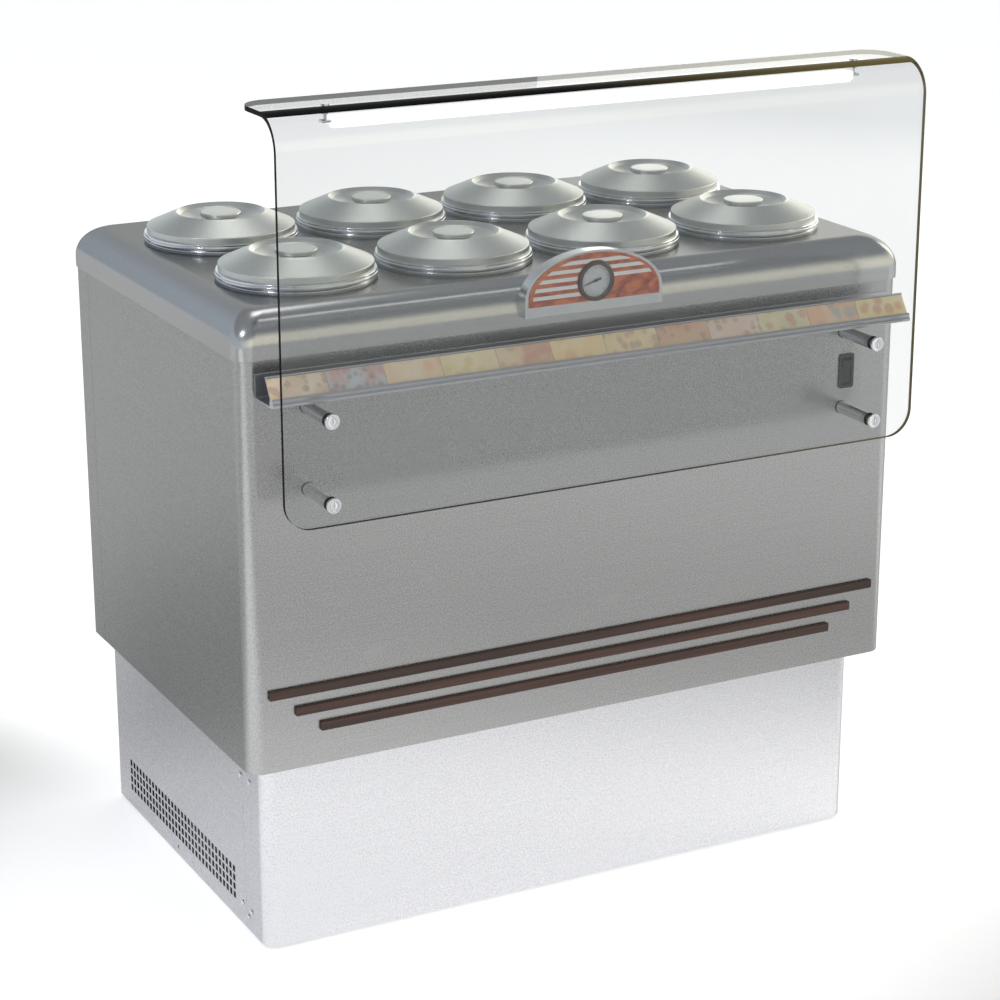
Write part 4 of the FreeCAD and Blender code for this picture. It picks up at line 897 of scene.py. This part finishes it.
feed(
    shader,
    Base_Color=ink.blend(paint(226, 230, 236), paint(240, 242, 245)),
    Roughness=0.4 + 0.1 * ink,
    Normal=ink.bump(0.02, 0.0001),
)
dial_ink, shader, place = finish("dial_ink", Specular_IOR_Level=0.3)
ink = place.noise(500, 2)
feed(shader, Base_Color=ink.blend(paint(48, 56, 72), paint(72, 80, 96)), Roughness=0.5 + 0.1 * ink)
shape = bmesh.new()
turn(shape, rounded([(0.85, 13, 0), (23.5, 13, 0), (23.5, 13.8, 0.2), (0.85, 13.8, 0)], steps=3), sides=72)
TICKS, FIRST_TICK, LAST_TICK = 31, -135, 135
LONG_TICK, SHORT_TICK = (17.0, 21.5, 0.35), (19.2, 21.5, 0.16)  # inner end, outer end and half width
INK_LAYER = (13.8, 13.88)
for n in range(TICKS):
    lean = math.radians(FIRST_TICK + (LAST_TICK - FIRST_TICK) * n / (TICKS - 1))
    start, end, half = LONG_TICK if n % 5 == 0 else SHORT_TICK
    before = len(shape.verts)
    faces_before = len(shape.faces)
    box(shape, (-half, half), (start, end), INK_LAYER)
    shape.verts.ensure_lookup_table()
    shape.faces.ensure_lookup_table()
    bmesh.ops.rotate(shape, cent=(0, 0, 0), matrix=Matrix.Rotation(lean, 3, "Z"), verts=shape.verts[before:])
    for face in shape.faces[faces_before:]:
        face.material_index = 1
dial = piece("printed_dial", shape, [dial_white, dial_ink])
dial.matrix_world = Matrix.Translation(dial_middle * MM) @ FORWARD
hand_over(dial, "cabinet", "dial_white", "thermometer_dial")
needle_black, shader, place = finish("needle_black", Specular_IOR_Level=0.4)
coat = place.noise(300, 2)
feed(shader, Base_Color=coat.blend(paint(28, 29, 32), paint(46, 48, 52)), Roughness=0.35 + 0.1 * coat)
dress(needle_black, "thermometer_needle")
lens_clear, shader, place = finish("lens_clear", Metallic=1.0, Roughness=0.02)
shader.inputs["Base Color"].default_value = (0.95, 0.97, 0.98, 1.0)
facing = place.node("LayerWeight", {"Blend": 0.5}, output="Facing")
haze = place.noise(30, 2)
let_through(lens_clear, shader, 0.04 + 0.9 * facing ** 5 + 0.01 * haze, (0.97, 0.97, 0.97, 1.0))
LENS_OUTLINE = rounded([
    (0, 18, 0), (23.6, 18, 0), (23.6, 18.5, 0.2), (16, 18.95, 8), (0, 19.2, 0),
], closed=False, steps=6)
shape = bmesh.new()
turn(shape, LENS_OUTLINE, ring=False, sides=72)
lens = piece("dial_window", shape, [lens_clear])
lens.matrix_world = Matrix.Translation(dial_middle * MM) @ FORWARD
hand_over(lens, "cabinet", "lens", "thermometer_lens")

# Trim strips: three planed hardwood battens, stained dark and oiled, with eased edges. They are screwed to
# the front sheet from behind, and each is shorter than the one above it.
strip_stain, shader, place = finish("strip_stain", Coat_Weight=0.15, Coat_Roughness=0.4)
fibre = place.stretched(3.0, 160.0, 160.0).noise(1.0, 5)
band = place.stretched(0.7, 30.0, 30.0).noise(1.0, 3)
figure = (0.6 * fibre + 0.4 * band).between(0.35, 0.65)
feed(
    shader,
    Base_Color=figure.blend(paint(44, 26, 20), paint(80, 48, 38)),
    Roughness=0.42 + 0.2 * fibre,
    Normal=fibre.bump(0.2, 0.0004),
)
STRIP_TALL, MIDDLE_STRIP = 14.0, 390.0
low, high = span("trim_strips")
STRIPS = (
    (512.0, high.z - STRIP_TALL / 2),
    (472.0, MIDDLE_STRIP),
    (434.0, low.z + STRIP_TALL / 2),
)  # half length and height above the floor
for n, (half, up) in enumerate(STRIPS):
    shape = bmesh.new()
    box(shape, (-half, half), (low.y, high.y), (up - STRIP_TALL / 2, up + STRIP_TALL / 2))
    strip = piece(f"batten_{n + 1}", shape, [strip_stain], eased=1.8)
    hand_over(strip, "cabinet", "strip_wood", "trim_strips")

# Switch: a frame and a rocker, both moulded in black nylon. The frame snaps into the front sheet's cut-out,
# and the rocker tips on two stub pins inside it.
switch_black, shader, place = finish("switch_black", Specular_IOR_Level=0.45)
spark = place.noise(700, 2)
feed(
    shader,
    Base_Color=spark.blend(paint(22, 22, 22), paint(40, 40, 39)),
    Roughness=0.36 + 0.16 * spark,
    Normal=spark.bump(0.12, 0.0002),
)
dress(switch_black, "switch_bezel", "switch_rocker")

# Studio: a wide pale floor that is greyer well out on both sides, and a sky that is cooler on the left. A
# large softbox stands behind, one hangs overhead, a warm one is on the right, and a small one in front gives
# the cover's corner its glint.
floor_paint, shader, place = finish(
    "floor_paint", Roughness=0.9, Specular_IOR_Level=0.1, Emission_Strength=0.52
)
OUTWARD, OVER = (0.46, -0.89, 0.0), (0.89, 0.46, 0.0)
outward = place.node("VectorMath", {0: place, 1: OUTWARD}, output="Value", operation="DOT_PRODUCT")
over = place.node("VectorMath", {0: place, 1: OVER}, output="Value", operation="DOT_PRODUCT")
front_side = outward.between(-0.2, 0.2)
far_out = (abs(outward) - 0.25 * front_side).between(0.3, 1.1) * (1 - 0.45 * abs(outward).between(1.5, 2.3))
past_end = over - (1.35 * front_side - 0.15)
shaded = far_out * (1 - past_end.between(-0.2, 0.1))
sweep = shaded.blend(paint(253, 253, 253), paint(180, 180, 180))
feed(shader, Base_Color=sweep, Emission_Color=sweep)
shape = bmesh.new()
FLOOR_HALF, FLOOR_THICK = 30000, 20
box(shape, (-FLOOR_HALF, FLOOR_HALF), (-FLOOR_HALF, FLOOR_HALF), (-FLOOR_THICK, 0))
floor = piece("studio_floor", shape, [floor_paint])


def softbox(name, place, aim, width, height, power, colour):
    """A rectangular light that faces a point."""
    light = bpy.data.lights.new(name, "AREA")
    light.shape = "RECTANGLE"
    light.size, light.size_y = width, height
    light.energy = power
    light.color = colour
    lamp = bpy.data.objects.new(name, light)
    lamp.location = place
    lamp.rotation_euler = (Vector(aim) - Vector(place)).to_track_quat("-Z", "Y").to_euler()
    bpy.context.scene.collection.objects.link(lamp)


softbox("back_wall", (4.6, 4.2, 2.2), (0, 0, 1.0), 4.2, 2.2, 30, (1.0, 0.985, 0.955))
softbox("overhead", (0.5, 1.5, 4.2), (0, 0, 0.9), 1.2, 1.2, 9, (1.0, 0.99, 0.95))
softbox("right_warm", (3.6, 0.6, 2.2), (0, 0, 0.9), 1.4, 2.0, 22, (1.0, 0.95, 0.84))
softbox("corner_spark", (-2.95, -1.2, 3.9), (-0.5, -0.3, 0.95), 0.42, 0.42, 26, (1.0, 1.0, 1.0))
world = bpy.data.worlds.new("sky")
bpy.context.scene.world = world
world.use_nodes = True
sky = Signal(world.node_tree).node("TexCoord", {}, output="Generated")
RIGHTWARD = (0.89, -0.46, 0.0)
across = sky.node("VectorMath", {0: sky, 1: RIGHTWARD}, output="Value", operation="DOT_PRODUCT")
SKY_LEFT, SKY_RIGHT, ZENITH = (0.60, 0.67, 0.76, 1.0), (1.38, 1.32, 1.12, 1.0), (0.34, 0.355, 0.38, 1.0)
horizon = across.between(-0.8, 0.8).blend(SKY_LEFT, SKY_RIGHT)
background = world.node_tree.nodes["Background"]
background.inputs["Strength"].default_value = 1.0
feed(background, Color=sky.axis(2).between(0.3, 0.62).blend(horizon, ZENITH))

camera = bpy.data.cameras.new("camera")
camera.lens = 96.661
camera.sensor_width = 36.0
camera.clip_end = 100.0
eye = bpy.data.objects.new("camera", camera)
eye.location = (-1.84547, -3.55416, 1.85217)
eye.rotation_euler = (math.pi / 2 - 0.31459, 0.0, -0.48080)
bpy.context.scene.collection.objects.link(eye)
bpy.context.scene.camera = eye
bpy.context.scene.view_settings.view_transform = "Standard"
